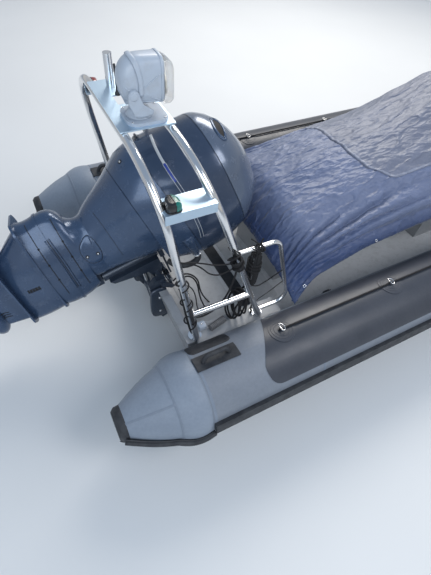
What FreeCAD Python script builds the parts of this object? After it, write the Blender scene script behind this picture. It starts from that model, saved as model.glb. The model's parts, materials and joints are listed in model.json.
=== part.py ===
import FreeCAD, Part
import math
import os
from FreeCAD import Vector, Rotation, Placement

# Rigid-hull inflatable boat with its outboard engine tilted up, in millimetres.
# +X points to the bow, +Y to port, +Z up. The origin is on the centreline at
# the waterline, half way between the cone ends and the bow.

# Inflatable collar
tube_radius = 245.0
tube_half_spacing = 950.0
tube_height = 360.0
stern_end_x = -3170.0
cone_length = 450.0
cone_end_radius = 85.0
cap_thickness = 25.0
bow_tip_x = 3230.0
bow_bend_radius = 1500.0
bow_bend_angle = 66.0
bow_rise_angle = 17.0
seat_gap = 0.3

# Rubber strakes, panels and fittings on the collar
strake_angle = 8.0
strake_height = 62.0
strake_depth = 26.0
lower_strake_angle = -17.0
lower_strake_height = 40.0
skin = 3.0
panel_low_angle = 29.0
panel_high_angle = 135.0
panel_corner_radius = 90.0
rope_radius = 6.0
rope_angle = 96.0
patch_pitch = 850.0
patch_count = 5
patch_radius = 80.0
loop_width = 24.0
loop_wall = 4.0
handle_length = 260.0
handle_base_half = 45.0
handle_base_thickness = 8.0
handle_grip_radius = 13.0
handle_angle = 97.0

# Hull and deck
transom_face_x = -2610.0
transom_thickness = 60.0
transom_rake = 12.0
transom_top_z = 360.0
transom_side_z = 430.0
engine_cutout_half = 300.0
keel_z = -440.0
keel_half_width = 15.0
cockpit_inset = 260.0
deck_z = 150.0
deck_thickness = 20.0
fore_deck_x = 680.0
bow_step_x = 1500.0
bow_cockpit_length = 750.0
quarter_length = 650.0
quarter_width = 100.0
bollard_radius = 24.0

# Seats and console on the deck
seat_half_width = 290.0
seat_aft_x = -1700.0
seat_length = 1250.0
seat_base_z = 560.0
seat_cushion_z = 700.0
seat_back_z = 1100.0
seat_back_thickness = 90.0
console_half_width = 380.0
console_aft_x = -250.0
console_length = 770.0
console_top_z = 1380.0
cover_cloth = 12.0

# Stern arch
arch_tube_radius = 21.0
arch_top_z = 1570.0
arch_foot_z = 440.0
arch_foot_inset = 10.0
arch_shoulder_inset = 84.0
arch_bend_radius = 375.0
arch_overhang = 137.0
leg_spacing = 218.0
aft_leg_rake = 0.167
fore_leg_rake = 0.359
foot_flange_radius = 42.0
foot_flange_thickness = 8.0
rung_z = 680.0
hoop_tube_radius = 13.0
hoop_top_z = 1040.0
hoop_low_z = 500.0
hoop_reach = 544.0
shelf_z = 1400.0
shelf_thickness = 6.0
shelf_half_width = 60.0
lamp_height = 44.0

# Outboard engine
pivot_forward = 40.0
pivot_z = 420.0
steer_offset = 130.0
tilt_at_rest = 75.0
steer_at_rest = -20.0
swivel_half_width = 80.0
clamp_half_span = 175.0
clamp_plate = 42.0
steer_tube_radius = 38.0
steer_tube_low = -330.0
steer_tube_high = 60.0
kingpin_radius = 16.0
cross_z = 50.0
cross_offset = 40.0
ram_eye_x = -62.0
ram_eye_z = -75.0
ram_barrel_radius = 24.0
ram_barrel_length = 220.0
ram_rod_radius = 10.0
ram_stroke = 135.0
ram_slot_half = 34.0
bar_x = 60.0
bar_z = 50.0
bar_radius = 10.0
steer_ram_half = 82.0
cowl_floor_u = 105.0
groove_half = 3.0
groove_depth = 7.0
splash_u = -600.0
splash_thickness = 12.0
plate_u = -815.0
plate_thickness = 10.0
gearcase_radius = 74.0
gearcase_length = 490.0
skeg_depth = 235.0
skeg_thickness = 14.0
prop_axis_u = -1030.0
prop_a = 455.0
prop_radius = 186.0
prop_pitch = 480.0
prop_rake = 0.26
hub_radius = 52.0
hub_length = 120.0
shaft_radius = 14.0
rod_clearance = 0.08

# Searchlight
light_forward = 102.0
light_y = -162.0
light_base_height = 15.0
light_neck_height = 28.0
light_neck_radius = 52.0
light_pivot_back = 39.0
light_pivot_height = 126.0
head_half = 62.0
cheek_thickness = 10.0
pin_radius = 10.0

# Places that follow from the lengths above
cockpit_half_width = tube_half_spacing - cockpit_inset
panel_aft_x = transom_face_x + 275
patch_first_x = transom_face_x + 470
handle_x = transom_face_x + 45
aft_leg_top_x = transom_face_x - arch_overhang
fore_leg_top_x = aft_leg_top_x + leg_spacing
arch_foot_y = cockpit_half_width - arch_foot_inset
arch_shoulder_y = arch_foot_y - arch_shoulder_inset
hoop_front_x = fore_leg_top_x + hoop_reach
quarter_front_x = transom_face_x + quarter_length
pivot_x = transom_face_x + pivot_forward
light_x = aft_leg_top_x + light_forward


def box(x0, x1, y0, y1, z0, z1):
    return Part.makeBox(x1 - x0, y1 - y0, z1 - z0, Vector(x0, y0, z0))


def rod(start, end, radius):
    start = Vector(*start)
    way = Vector(*end).sub(start)
    return Part.makeCylinder(radius, way.Length, start, way)


def polygon(points):
    corners = [Vector(*p) for p in points]
    return Part.Face(Part.makePolygon(corners + [corners[0]]))


def side_plate(profile, y0, y1):
    """A plate whose outline is given in X and Z, from y0 to y1."""
    return polygon([(x, y0, z) for x, z in profile]).extrude(Vector(0, y1 - y0, 0))


def flat_plate(profile, z0, z1):
    """A plate whose outline is given in X and Y, from z0 to z1."""
    return polygon([(x, y, z0) for x, y in profile]).extrude(Vector(0, 0, z1 - z0))


def rounded_wire(points, share=0.46):
    """A closed outline whose corners are tangent arcs over that share of the shorter side."""
    corners = [Vector(*p) for p in points]
    count = len(corners)
    runs = [corners[(i + 1) % count].sub(corners[i]).Length for i in range(count)]
    arcs = []
    for i, corner in enumerate(corners):
        back = corners[i - 1].sub(corner).normalize()
        ahead = corners[(i + 1) % count].sub(corner).normalize()
        reach = share * min(runs[i - 1], runs[i])
        half_angle = back.getAngle(ahead) / 2
        depth = reach / math.cos(half_angle) - reach * math.tan(half_angle)
        middle = corner + (back + ahead).normalize() * depth
        arcs.append((corner + back * reach, middle, corner + ahead * reach))
    edges = []
    for i, (start, middle, end) in enumerate(arcs):
        edges.append(Part.Arc(start, middle, end).toShape())
        edges.append(Part.LineSegment(end, arcs[(i + 1) % count][0]).toShape())
    return Part.Wire(edges)


def rounded_side(profile, y0, y1, share=0.3):
    face = Part.Face(rounded_wire([(x, y0, z) for x, z in profile], share))
    return face.extrude(Vector(0, y1 - y0, 0))


def rounded_flat(profile, z0, z1, share=0.3):
    face = Part.Face(rounded_wire([(x, y, z0) for x, y in profile], share))
    return face.extrude(Vector(0, 0, z1 - z0))


def symmetric(profile):
    """Closes a half outline in X and Y by its mirror image over the X axis."""
    return list(profile) + [(x, -y) for x, y in reversed(profile)]


def bent_path(points, bends):
    """Straight runs through the points, joined by tangent arcs of the given radii."""
    points = [Vector(*p) for p in points]
    edges = []
    at = points[0]
    for before, corner, after, radius in zip(points, points[1:], points[2:], bends):
        way_in = corner.sub(before).normalize()
        way_out = after.sub(corner).normalize()
        turn = way_in.getAngle(way_out)
        reach = radius * math.tan(turn / 2)
        start = corner - way_in * reach
        end = corner + way_out * reach
        half = (way_out - way_in).normalize()
        middle = corner + half * (radius / math.cos(turn / 2) - radius)
        edges.append(Part.LineSegment(at, start).toShape())
        edges.append(Part.Arc(start, middle, end).toShape())
        at = end
    edges.append(Part.LineSegment(at, points[-1]).toShape())
    return Part.Wire(edges)


def bent_tube(points, bends, radius):
    path = bent_path(points, bends)
    start = Vector(*points[0])
    way = Vector(*points[1]).sub(start)
    ring = Part.Wire(Part.Circle(start, way, radius).toShape())
    return path.makePipeShell([ring], True, True)


def mirrored(shape):
    return shape.mirror(Vector(0, 0, 0), Vector(0, 1, 0))


def both_sides(shape):
    return Part.makeCompound([shape, mirrored(shape)])


def fused(shapes):
    return shapes[0].multiFuse(shapes[1:]).removeSplitter()



nodes = {}


# Collar. Each side runs straight, then bends inward and upward to the bow,
# where the two halves meet on the centreline.
rise = math.radians(bow_rise_angle)
bend = math.radians(bow_bend_angle)
sweep_width = tube_half_spacing / math.cos(rise)
arc_width = bow_bend_radius * (1 - math.cos(bend))
tail_length = (sweep_width - arc_width) / math.sin(bend)
bow_reach = bow_bend_radius * math.sin(bend) + tail_length * math.cos(bend)
nose_reach = tube_radius / math.sin(bend)
bow_start_x = bow_tip_x - nose_reach - bow_reach
cone_start_x = stern_end_x + cap_thickness + cone_length


def bow_point(side, inward, ahead):
    """A point of the bow's centre line, measured in its tilted plane from where it leaves the straight tube."""
    y = side * (tube_half_spacing - inward * math.cos(rise))
    return Vector(bow_start_x + ahead, y, tube_height + inward * math.sin(rise))


def bow_sweep(outline, side):
    """Carries an outline at the straight tube's end along the bow, up to the centreline."""
    start = bow_point(side, 0, 0)
    half_bend = bend / 2
    middle = bow_point(side, bow_bend_radius * (1 - math.cos(half_bend)), bow_bend_radius * math.sin(half_bend))
    end = bow_point(side, arc_width, bow_bend_radius * math.sin(bend))
    tail = tail_length + 2 * tube_radius
    past = bow_point(side, arc_width + tail * math.sin(bend), bow_bend_radius * math.sin(bend) + tail * math.cos(bend))
    path = Part.Wire([Part.Arc(start, middle, end).toShape(), Part.LineSegment(end, past).toShape()])
    whole = path.makePipeShell([outline], True, True)
    low = 0 if side > 0 else -2000
    return whole.common(box(bow_start_x, bow_tip_x + 4 * tube_radius, low, low + 2000, -1000, 2000))


def bow_tube(radius, side):
    ring = Part.Circle(bow_point(side, 0, 0), Vector(1, 0, 0), radius).toShape()
    return bow_sweep(Part.Wire(ring), side)


def side_tube(radius, side):
    start = (cone_start_x, side * tube_half_spacing, tube_height)
    end = (bow_start_x, side * tube_half_spacing, tube_height)
    return rod(start, end, radius)


def cone(extra, side):
    centre = Vector(stern_end_x + cap_thickness, side * tube_half_spacing, tube_height)
    return Part.makeCone(cone_end_radius + extra, tube_radius + extra, cone_length, centre, Vector(1, 0, 0))


def end_cap(side):
    centre = Vector(stern_end_x, side * tube_half_spacing, tube_height)
    disc = Part.makeCylinder(cone_end_radius, cap_thickness, centre, Vector(1, 0, 0))
    rim = [e for e in disc.Edges if abs(e.BoundBox.XMax - stern_end_x) < 1e-3]
    return disc.makeFillet(0.5 * cap_thickness, rim)


for name, side in (("starboard", -1), ("port", 1)):
    nodes["tube_" + name] = side_tube(tube_radius, side)
    nodes["bow_tube_" + name] = bow_tube(tube_radius, side)
    nodes["cone_" + name] = cone(0, side)
nodes["cone_caps"] = Part.makeCompound([end_cap(-1), end_cap(1)])

collar_room = []
for side in (-1, 1):
    collar_room.append(side_tube(tube_radius + seat_gap, side))
    collar_room.append(bow_tube(tube_radius + seat_gap, side))
    collar_room.append(cone(seat_gap, side))


def clear_of_collar(shape):
    for room in collar_room:
        shape = shape.cut(room)
    return shape


# A strip on the tube: its section is a ring sector that starts on the tube's
# skin. Angles count from straight outboard, over the top, to inboard.
def on_tube(x, side, angle, distance):
    turn = math.radians(angle)
    y = side * (tube_half_spacing + distance * math.cos(turn))
    return Vector(x, y, tube_height + distance * math.sin(turn))


def sector_wire(x, side, low, high, inner, outer):
    mid = 0.5 * (low + high)
    edges = [
        Part.Arc(on_tube(x, side, low, inner), on_tube(x, side, mid, inner), on_tube(x, side, high, inner)),
        Part.LineSegment(on_tube(x, side, high, inner), on_tube(x, side, high, outer)),
        Part.Arc(on_tube(x, side, high, outer), on_tube(x, side, mid, outer), on_tube(x, side, low, outer)),
        Part.LineSegment(on_tube(x, side, low, outer), on_tube(x, side, low, inner)),
    ]
    return Part.Wire([e.toShape() for e in edges])


def tube_strip(x0, x1, side, low, high, inner, outer):
    return Part.Face(sector_wire(x0, side, low, high, inner, outer)).extrude(Vector(x1 - x0, 0, 0))


def long_strip(x0, side, low, high, inner, outer):
    """A strip from x0 forward and round the bow to the centreline."""
    straight = tube_strip(x0, bow_start_x, side, low, high, inner, outer)
    curved = bow_sweep(sector_wire(bow_start_x, side, low, high, inner, outer), side)
    return straight.fuse(curved)


skin_in = tube_radius + seat_gap
skin_out = skin_in + skin


def degrees_for(height):
    return math.degrees(height / tube_radius)


def strakes(side):
    pieces = []
    for angle, height, depth in ((strake_angle, strake_height, strake_depth),
                                 (lower_strake_angle, lower_strake_height, 0.7 * strake_depth)):
        half = 0.5 * degrees_for(height)
        pieces.append(long_strip(cone_start_x, side, angle - half, angle + half, skin_in, skin_in + depth))
    return pieces


def panel_trim(side):
    """What the dark panel loses at its aft end: a rounded lower corner and an edge that slants forward on top."""
    corner_z = on_tube(0, side, panel_low_angle, skin_out).z
    corner_x = panel_aft_x + panel_corner_radius
    corner = box(panel_aft_x - 100, corner_x, -1500, 1500, corner_z - 100, corner_z + panel_corner_radius)
    corner = corner.cut(rod((corner_x, -1500, corner_z + panel_corner_radius),
                            (corner_x, 1500, corner_z + panel_corner_radius), panel_corner_radius))
    outer_y = on_tube(0, side, 60, skin_out).y
    inner_y = on_tube(0, side, panel_high_angle, skin_out).y
    slant = [(panel_aft_x - 100, outer_y), (panel_aft_x, outer_y), (panel_aft_x + 155, inner_y),
             (panel_aft_x + 155, inner_y - side * 50), (panel_aft_x - 100, inner_y - side * 50)]
    return corner.common(box(-4000, 0, min(0, side * 1500), max(0, side * 1500), -500, 1000)), slant


for name, side in (("starboard", -1), ("port", 1)):
    nodes["strakes_" + name] = Part.makeCompound(strakes(side))
    panel = long_strip(panel_aft_x, side, panel_low_angle, panel_high_angle, skin_in, skin_out)
    corner, slant = panel_trim(side)
    nodes["dark_panel_" + name] = panel.cut(corner).cut(flat_plate(slant, tube_height, tube_height + 400))

# Round lifeline patches on the dark panel, each with a webbing loop, and the
# rope that runs through the loops along the tube's top.
patch_in = skin_out + seat_gap
patch_out = patch_in + skin
loop_inner = rope_radius + seat_gap
rope_line = patch_out + loop_inner


def patch(x, side):
    half = degrees_for(patch_radius)
    sector = tube_strip(x - patch_radius, x + patch_radius, side, rope_angle - half, rope_angle + half,
                        patch_in, patch_out)
    centre = on_tube(x, side, rope_angle, tube_radius - 20)
    way = on_tube(x, side, rope_angle, tube_radius + 20).sub(centre)
    pad = sector.common(Part.makeCylinder(patch_radius, 80, centre, way))
    start = on_tube(x - loop_width / 2, side, rope_angle, rope_line)
    end = on_tube(x + loop_width / 2, side, rope_angle, rope_line)
    loop = rod(tuple(start), tuple(end), loop_inner + loop_wall)
    below = rod((x - 20, side * tube_half_spacing, tube_height), (x + 20, side * tube_half_spacing, tube_height),
                patch_out - 0.5 * skin)
    return pad.fuse(loop.cut(below)).cut(rod(tuple(start), tuple(end), loop_inner))


patches = []
ropes = []
for side in (-1, 1):
    spots = [patch_first_x + i * patch_pitch for i in range(patch_count)]
    for x in spots:
        patches.append(patch(x, side))
    start = on_tube(spots[0] - 20, side, rope_angle, rope_line)
    end = on_tube(spots[-1] + 20, side, rope_angle, rope_line)
    ropes.append(rod(tuple(start), tuple(end), rope_radius))
nodes["lifeline_patches"] = Part.makeCompound(patches)
nodes["lifelines"] = Part.makeCompound(ropes)


# Moulded lifting handles on the tubes' tops, by the cones.
def handle(side):
    half = degrees_for(handle_base_half)
    base = tube_strip(handle_x - handle_length / 2, handle_x + handle_length / 2, side, handle_angle - half,
                      handle_angle + half, skin_in, skin_in + handle_base_thickness)
    foot = skin_in + handle_base_thickness - 2
    rise_out = skin_in + 3.7 * handle_grip_radius
    far, near = 0.31 * handle_length, 0.23 * handle_length
    places = [(-far, foot), (-near, rise_out), (near, rise_out), (far, foot)]
    grip = bent_tube([tuple(on_tube(handle_x + x, side, handle_angle, out)) for x, out in places],
                     [2 * handle_grip_radius] * 2, handle_grip_radius)
    return base.fuse(grip)


nodes["tube_handles"] = both_sides(handle(-1))


# Hull. Each row is a station: distance aft of the bow tip, keel z, chine half
# width as a share of the tubes' half spacing, chine z, gunwale share and z.
hull_stations = [
    (5930, keel_z, 0.821, -95, 0.895, 280),
    (3030, keel_z, 0.821, -85, 0.895, 280),
    (1730, keel_z + 40, 0.737, 10, 0.821, 320),
    (930, keel_z + 190, 0.495, 180, 0.568, 420),
    (450, keel_z + 450, 0.210, 370, 0.253, 520),
    (245, keel_z + 770, 0.032, 480, 0.038, 600),
]


def hull_section(back, keel, chine_share, chine_z, gunwale_share, gunwale_z):
    x = bow_tip_x - back
    half = [(keel_half_width, keel), (chine_share * tube_half_spacing, chine_z),
            (gunwale_share * tube_half_spacing, gunwale_z)]
    points = [(x, y, z) for y, z in half] + [(x, -y, z) for y, z in reversed(half)]
    corners = [Vector(*p) for p in points]
    return Part.makePolygon(corners + [corners[0]])


rake_slope = math.tan(math.radians(transom_rake))


def transom_face(z):
    return transom_face_x + (transom_top_z - z) * rake_slope


hull = Part.makeLoft([hull_section(*row) for row in hull_stations], True, True)
astern = [(-4500, -1000), (transom_face(-1000), -1000), (transom_face(1000), 1000), (-4500, 1000)]
hull = hull.cut(side_plate(astern, -1500, 1500))
bow_end_x = bow_step_x + bow_cockpit_length
bow_end_half = 0.35 * tube_half_spacing
cockpit_plan = symmetric([(-4500, cockpit_half_width), (bow_step_x, cockpit_half_width), (bow_end_x, bow_end_half)])
floor_z = deck_z - deck_thickness
hull = hull.cut(flat_plate(cockpit_plan, floor_z, 1000))
hull = clear_of_collar(hull)
nodes["hull"] = hull

# Cockpit floor in two panels: aft, under the seats and console, and forward.
deck_aft_x = transom_face(deck_z) + transom_thickness + 12
nodes["deck"] = box(deck_aft_x, fore_deck_x, -cockpit_half_width, cockpit_half_width, floor_z, deck_z)
nodes["fore_deck"] = box(fore_deck_x + seat_gap, bow_step_x - seat_gap, -cockpit_half_width, cockpit_half_width,
                         floor_z, deck_z)

# Transom board, cut down in the middle for the engine.
board = [(transom_face(floor_z), floor_z), (transom_face(transom_side_z), transom_side_z),
         (transom_face(transom_side_z) + transom_thickness, transom_side_z),
         (transom_face(floor_z) + transom_thickness, floor_z)]
transom = side_plate(board, -cockpit_half_width, cockpit_half_width)
well = box(2 * transom_face_x, 0, -engine_cutout_half, engine_cutout_half, transom_top_z, 2 * transom_side_z)
nodes["transom"] = clear_of_collar(transom.cut(well))


# Quarter mouldings beside the engine well: they carry the arch's feet.
def quarter(side):
    inner = side * (cockpit_half_width - quarter_width)
    outer = side * (cockpit_half_width + quarter_width)
    foot = arch_foot_z - foot_flange_thickness
    profile = [(transom_face(deck_z) + transom_thickness, deck_z),
               (transom_face(foot) + transom_thickness, foot),
               (quarter_front_x, foot), (quarter_front_x + 60, deck_z)]
    block = side_plate(profile, min(inner, outer), max(inner, outer))
    return max(clear_of_collar(block).cut(hull).Solids, key=lambda s: s.Volume)


nodes["quarter_mouldings"] = Part.makeCompound([quarter(-1), quarter(1)])

# Bow moulding with a step up to the bow, and its mooring bollard.
bow_profile = [(bow_step_x, floor_z), (bow_step_x, deck_z), (bow_step_x + 60, 400), (bow_step_x + 600, 430),
               (bow_step_x + 1350, 640), (bow_step_x + 1350, 560), (bow_end_x, 250), (bow_end_x - 6, floor_z)]
bow_plan = symmetric([(bow_step_x, 0.8 * tube_half_spacing), (bow_end_x, 0.67 * tube_half_spacing),
                      (bow_end_x + 500, 0.32 * tube_half_spacing), (bow_end_x + 600, 0.16 * tube_half_spacing)])
bow_deck = side_plate(bow_profile, -tube_half_spacing, tube_half_spacing).common(flat_plate(bow_plan, 0, 1000))
bow_deck = clear_of_collar(bow_deck).cut(hull)
nodes["bow_moulding"] = max(bow_deck.Solids, key=lambda s: s.Volume)
post_x = bow_step_x + 500
bar_half = 3.1 * bollard_radius
bollard = rod((post_x, 0, 426), (post_x, 0, 560), bollard_radius)
bollard = bollard.fuse(rod((post_x, -bar_half, 530), (post_x, bar_half, 530), 0.54 * bollard_radius))
nodes["bow_bollard"] = bollard.cut(nodes["bow_moulding"])


# Stern arch: two bent tubes in raked planes, joined by rungs and plates.
def leg_x(top_x, rake, z):
    return top_x + rake * (arch_top_z - z)


def leg_y(z):
    share = (arch_top_z - z) / (arch_top_z - arch_foot_z)
    return arch_shoulder_y + (arch_foot_y - arch_shoulder_y) * share


def arch(top_x, rake):
    foot_x = leg_x(top_x, rake, arch_foot_z)
    points = [(foot_x, -arch_foot_y, arch_foot_z), (top_x, -arch_shoulder_y, arch_top_z),
              (top_x, arch_shoulder_y, arch_top_z), (foot_x, arch_foot_y, arch_foot_z)]
    return bent_tube(points, [arch_bend_radius] * 2, arch_tube_radius)


aft_arch = arch(aft_leg_top_x, aft_leg_rake)
fore_arch = arch(fore_leg_top_x, fore_leg_rake)
nodes["arch_aft"] = aft_arch
nodes["arch_forward"] = fore_arch


def foot_flange(top_x, rake, side):
    x = leg_x(top_x, rake, arch_foot_z)
    flange = rod((x, side * (arch_foot_y - 30), arch_foot_z - foot_flange_thickness),
                 (x, side * (arch_foot_y - 30), arch_foot_z), foot_flange_radius)
    return clear_of_collar(flange)


flanges = []
rungs = []
for side in (-1, 1):
    for top_x, rake in ((aft_leg_top_x, aft_leg_rake), (fore_leg_top_x, fore_leg_rake)):
        flanges.append(foot_flange(top_x, rake, side))
    start = (leg_x(aft_leg_top_x, aft_leg_rake, rung_z), side * leg_y(rung_z), rung_z)
    end = (leg_x(fore_leg_top_x, fore_leg_rake, rung_z), side * leg_y(rung_z), rung_z)
    rungs.append(rod(start, end, arch_tube_radius - 1).cut(aft_arch).cut(fore_arch))
nodes["arch_feet"] = Part.makeCompound([f.cut(aft_arch).cut(fore_arch) for f in flanges])
nodes["arch_rungs"] = Part.makeCompound([max(r.Solids, key=lambda s: s.Volume) for r in rungs])


# Hand hoops in front of the forward legs.
def hoop(side):
    top = (leg_x(fore_leg_top_x, fore_leg_rake, hoop_top_z), side * leg_y(hoop_top_z), hoop_top_z)
    low = (leg_x(fore_leg_top_x, fore_leg_rake, hoop_low_z), side * leg_y(hoop_low_z), hoop_low_z)
    upper = (hoop_front_x - 80, side * leg_y(hoop_top_z), hoop_top_z)
    lower = (hoop_front_x + 70, side * leg_y(hoop_low_z), hoop_low_z)
    tube = bent_tube([top, upper, lower, low], [70, 70], hoop_tube_radius)
    return max(tube.cut(fore_arch).Solids, key=lambda s: s.Volume)


nodes["hand_hoops"] = Part.makeCompound([hoop(-1), hoop(1)])

# Lamp shelves between the legs, with a navigation lamp on each.
def bend_y(z):
    """Half width of the arch's centre line on its bend."""
    tilt = math.atan2(arch_foot_y - arch_shoulder_y, arch_top_z - arch_foot_z)
    flat = arch_shoulder_y - arch_bend_radius * math.tan((math.pi / 2 - tilt) / 2)
    return flat + math.sqrt(arch_bend_radius ** 2 - (z - arch_top_z + arch_bend_radius) ** 2)


def shelf(side):
    inner = side * (bend_y(shelf_z) - shelf_half_width)
    outer = side * (bend_y(shelf_z) + shelf_half_width)
    aft = leg_x(aft_leg_top_x, aft_leg_rake, shelf_z)
    fore = leg_x(fore_leg_top_x, fore_leg_rake, shelf_z)
    plate = box(aft, fore, min(inner, outer), max(inner, outer), shelf_z, shelf_z + shelf_thickness)
    lip = box(aft, fore, min(outer, outer - side * 5), max(outer, outer - side * 5), shelf_z - 45, shelf_z)
    plate = plate.fuse(lip).cut(aft_arch).cut(fore_arch)
    return max(plate.Solids, key=lambda s: s.Volume)


nodes["lamp_shelves"] = Part.makeCompound([shelf(-1), shelf(1)])


# The lamp's housing is round outboard and narrows inboard.
def nav_lamp(side):
    seat = shelf_z + shelf_thickness
    x = leg_x(aft_leg_top_x, aft_leg_rake, shelf_z) + 52
    outboard = side * (bend_y(shelf_z) + shelf_half_width - 8)

    def ring(z, inset):
        plan = [(34, 8), (34, 52), (16, 84), (-16, 84), (-34, 52), (-34, 8), (-16, 0), (16, 0)]
        scale = 1 - inset / 34
        return rounded_wire([(x + scale * px, outboard - side * (inset + scale * py), z) for px, py in plan])

    rows = [(seat, 0), (seat + 0.55 * lamp_height, 0), (seat + 0.9 * lamp_height, 4), (seat + lamp_height, 14)]
    return Part.makeLoft([ring(*row) for row in rows], True, True)


nodes["lamp_starboard"] = nav_lamp(-1)
nodes["lamp_port"] = nav_lamp(1)

# Plate across the arch's top, and the tow post.
top_plate_z = arch_top_z + arch_tube_radius + seat_gap
deck_of_arch = top_plate_z + 6
top_plate = box(aft_leg_top_x - 20, fore_leg_top_x + 20, -260, 230, top_plate_z, deck_of_arch)
window = box(aft_leg_top_x + 50, fore_leg_top_x - 50, -30, 60, top_plate_z - 5, deck_of_arch + 5)
nodes["arch_top_plate"] = top_plate.cut(window)
post_x, post_y = aft_leg_top_x + 75, 150
nodes["tow_post"] = rod((post_x, post_y, deck_of_arch), (post_x, post_y, deck_of_arch + 154), 21)

# Searchlight: a base, a turning yoke with two cheeks, a head that tilts
# between them and a clear cover that bulges from the head's front.
neck_z = deck_of_arch + light_base_height
cheek_z = neck_z + light_neck_height
head_x = light_x - light_pivot_back
head_z = deck_of_arch + light_pivot_height
cheek_in = head_half + 4
cheek_out = cheek_in + cheek_thickness
base_plan = [(-72, -84), (92, -84), (116, -60), (116, 60), (92, 84), (-72, 84)]
nodes["searchlight_base"] = rounded_flat([(light_x + x, light_y + y) for x, y in base_plan], deck_of_arch, neck_z)
neck = Part.makeCylinder(light_neck_radius, light_neck_height - seat_gap, Vector(light_x, light_y, neck_z + seat_gap))
bridge = rounded_flat([(light_x + x, light_y + y) for x, y in
                       [(-48, -cheek_out), (48, -cheek_out), (48, cheek_out), (-48, cheek_out)]], cheek_z - 12, cheek_z)
cheek_profile = [(-48, cheek_z - 12), (48, cheek_z - 12), (30, head_z - 20), (8 - light_pivot_back, head_z + 30),
                 (-30 - light_pivot_back, head_z + 24), (-34 - light_pivot_back, head_z - 24)]
cheeks = []
for side in (-1, 1):
    inner, outer = light_y + side * cheek_in, light_y + side * cheek_out
    cheeks.append(rounded_side([(light_x + x, z) for x, z in cheek_profile], min(inner, outer), max(inner, outer)))
bearing = rod((head_x, light_y - 120, head_z), (head_x, light_y + 120, head_z), pin_radius + rod_clearance)
nodes["searchlight_yoke"] = fused([neck, bridge] + cheeks).cut(bearing)
head_profile = [(-46, 47), (-48, 92), (-32, 121), (0, 139), (64, 132), (126, 112), (140, 84), (140, -62),
                (84, -58), (20, -50), (-26, -24)]
head = rounded_side([(head_x + x, head_z + z) for x, z in head_profile], light_y - head_half, light_y + head_half)
pins = rod((head_x, light_y - cheek_out + 1, head_z), (head_x, light_y + cheek_out - 1, head_z), pin_radius)
nodes["searchlight_head"] = fused([head, pins])
lens_x = head_x + 140


def lens_ring(ahead, inset):
    half = head_half + 10 - inset
    low, high = head_z - 60 + inset, head_z + 112 - inset
    corners = [(-half, low), (half, low), (half, high), (-half, high)]
    return rounded_wire([(lens_x + ahead, light_y + y, z) for y, z in corners], 0.22)


nodes["searchlight_cover"] = Part.makeLoft([lens_ring(seat_gap, 0), lens_ring(26, 0), lens_ring(40, 8), lens_ring(47, 24)],
                                           True, True)

# Cover: a tent of cloth over the seats and console, open underneath. Each row
# is a section: x, ridge z, shoulder half width and z, hem half width and z.
# Its aft corners reach out to the tubes.
hem_on_tube = tube_half_spacing - 203.0
cover_sections = [
    (-1890, 612, 430, 600, hem_on_tube, 500),
    (-1815, 770, 400, 735, 700, 550),
    (-1700, 880, 430, 830, 660, 600),
    (-1250, 1000, 450, 920, 610, 650),
    (-900, 1060, 480, 970, 600, 660),
    (-500, 1120, 500, 1040, 600, 680),
    (0, 1330, 540, 1180, 620, 660),
    (330, 1330, 540, 1190, 620, 620),
    (640, 1000, 480, 820, 600, 520),
]


def tent_line(row, inset):
    """A section's points from hem to hem over the ridge, drawn in by the inset."""
    x, ridge, shoulder_y, shoulder_z, hem_y, hem_z = row
    half = [(hem_y - inset, hem_z), (shoulder_y - inset, shoulder_z - inset)]
    return half, (0, ridge - inset), [(-y, z) for y, z in reversed(half)]


def tent_points(row, inset):
    half, ridge, other = tent_line(row, inset)
    return [(row[0], y, z) for y, z in half + [ridge] + other]


def cover_ring(row):
    return Part.makePolygon([Vector(*p) for p in tent_points(row, 0) + tent_points(row, cover_cloth)[::-1]
                             + tent_points(row, 0)[:1]])


def cover_end(row, lean):
    return polygon(tent_points(row, 0)).extrude(Vector(lean, 0, 0))


tent = Part.makeLoft([cover_ring(row) for row in cover_sections], True, True)
nodes["cover"] = fused([tent, cover_end(cover_sections[0], -cover_cloth), cover_end(cover_sections[-1], cover_cloth)])


def room_ring(row):
    """A section of the room below the cloth, down to the deck."""
    points = tent_points(row, cover_cloth + seat_gap)
    x = row[0]
    floor = [(x, points[-1][1], deck_z), (x, points[0][1], deck_z)]
    return Part.makePolygon([Vector(*p) for p in points + floor + points[:1]])


below_cover = Part.makeLoft([room_ring(row) for row in cover_sections], True, True)


# Two seats in line on one base, each with a rounded saddle and a back rest
# that holds the cover up.
def seat(x):
    width = 0.55 * seat_half_width
    saddle = rounded_side([(x, seat_base_z - 5), (x + 30, seat_cushion_z), (x + 520, seat_cushion_z - 20),
                           (x + 560, seat_base_z - 5)], -width, width)
    back = rounded_side([(x - 60, seat_cushion_z - 60), (x - 90, seat_back_z),
                         (x - 90 + seat_back_thickness, seat_back_z), (x + seat_back_thickness, seat_cushion_z - 60)],
                        -seat_half_width, seat_half_width)
    stay = side_plate([(x - 40, seat_base_z - 5), (x - 40, seat_cushion_z), (x + 60, seat_cushion_z),
                       (x + 60, seat_base_z - 5)], -0.5 * width, 0.5 * width)
    return [saddle, back, stay]


base_profile = [(seat_aft_x, deck_z), (seat_aft_x + 25, seat_base_z), (seat_aft_x + seat_length - 35, seat_base_z),
                (seat_aft_x + seat_length, deck_z)]
seat_base = side_plate(base_profile, -seat_half_width, seat_half_width)
seats = fused([seat_base] + seat(seat_aft_x + 100) + seat(seat_aft_x + 0.52 * seat_length))
nodes["seat_pod"] = seats.common(below_cover)

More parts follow.
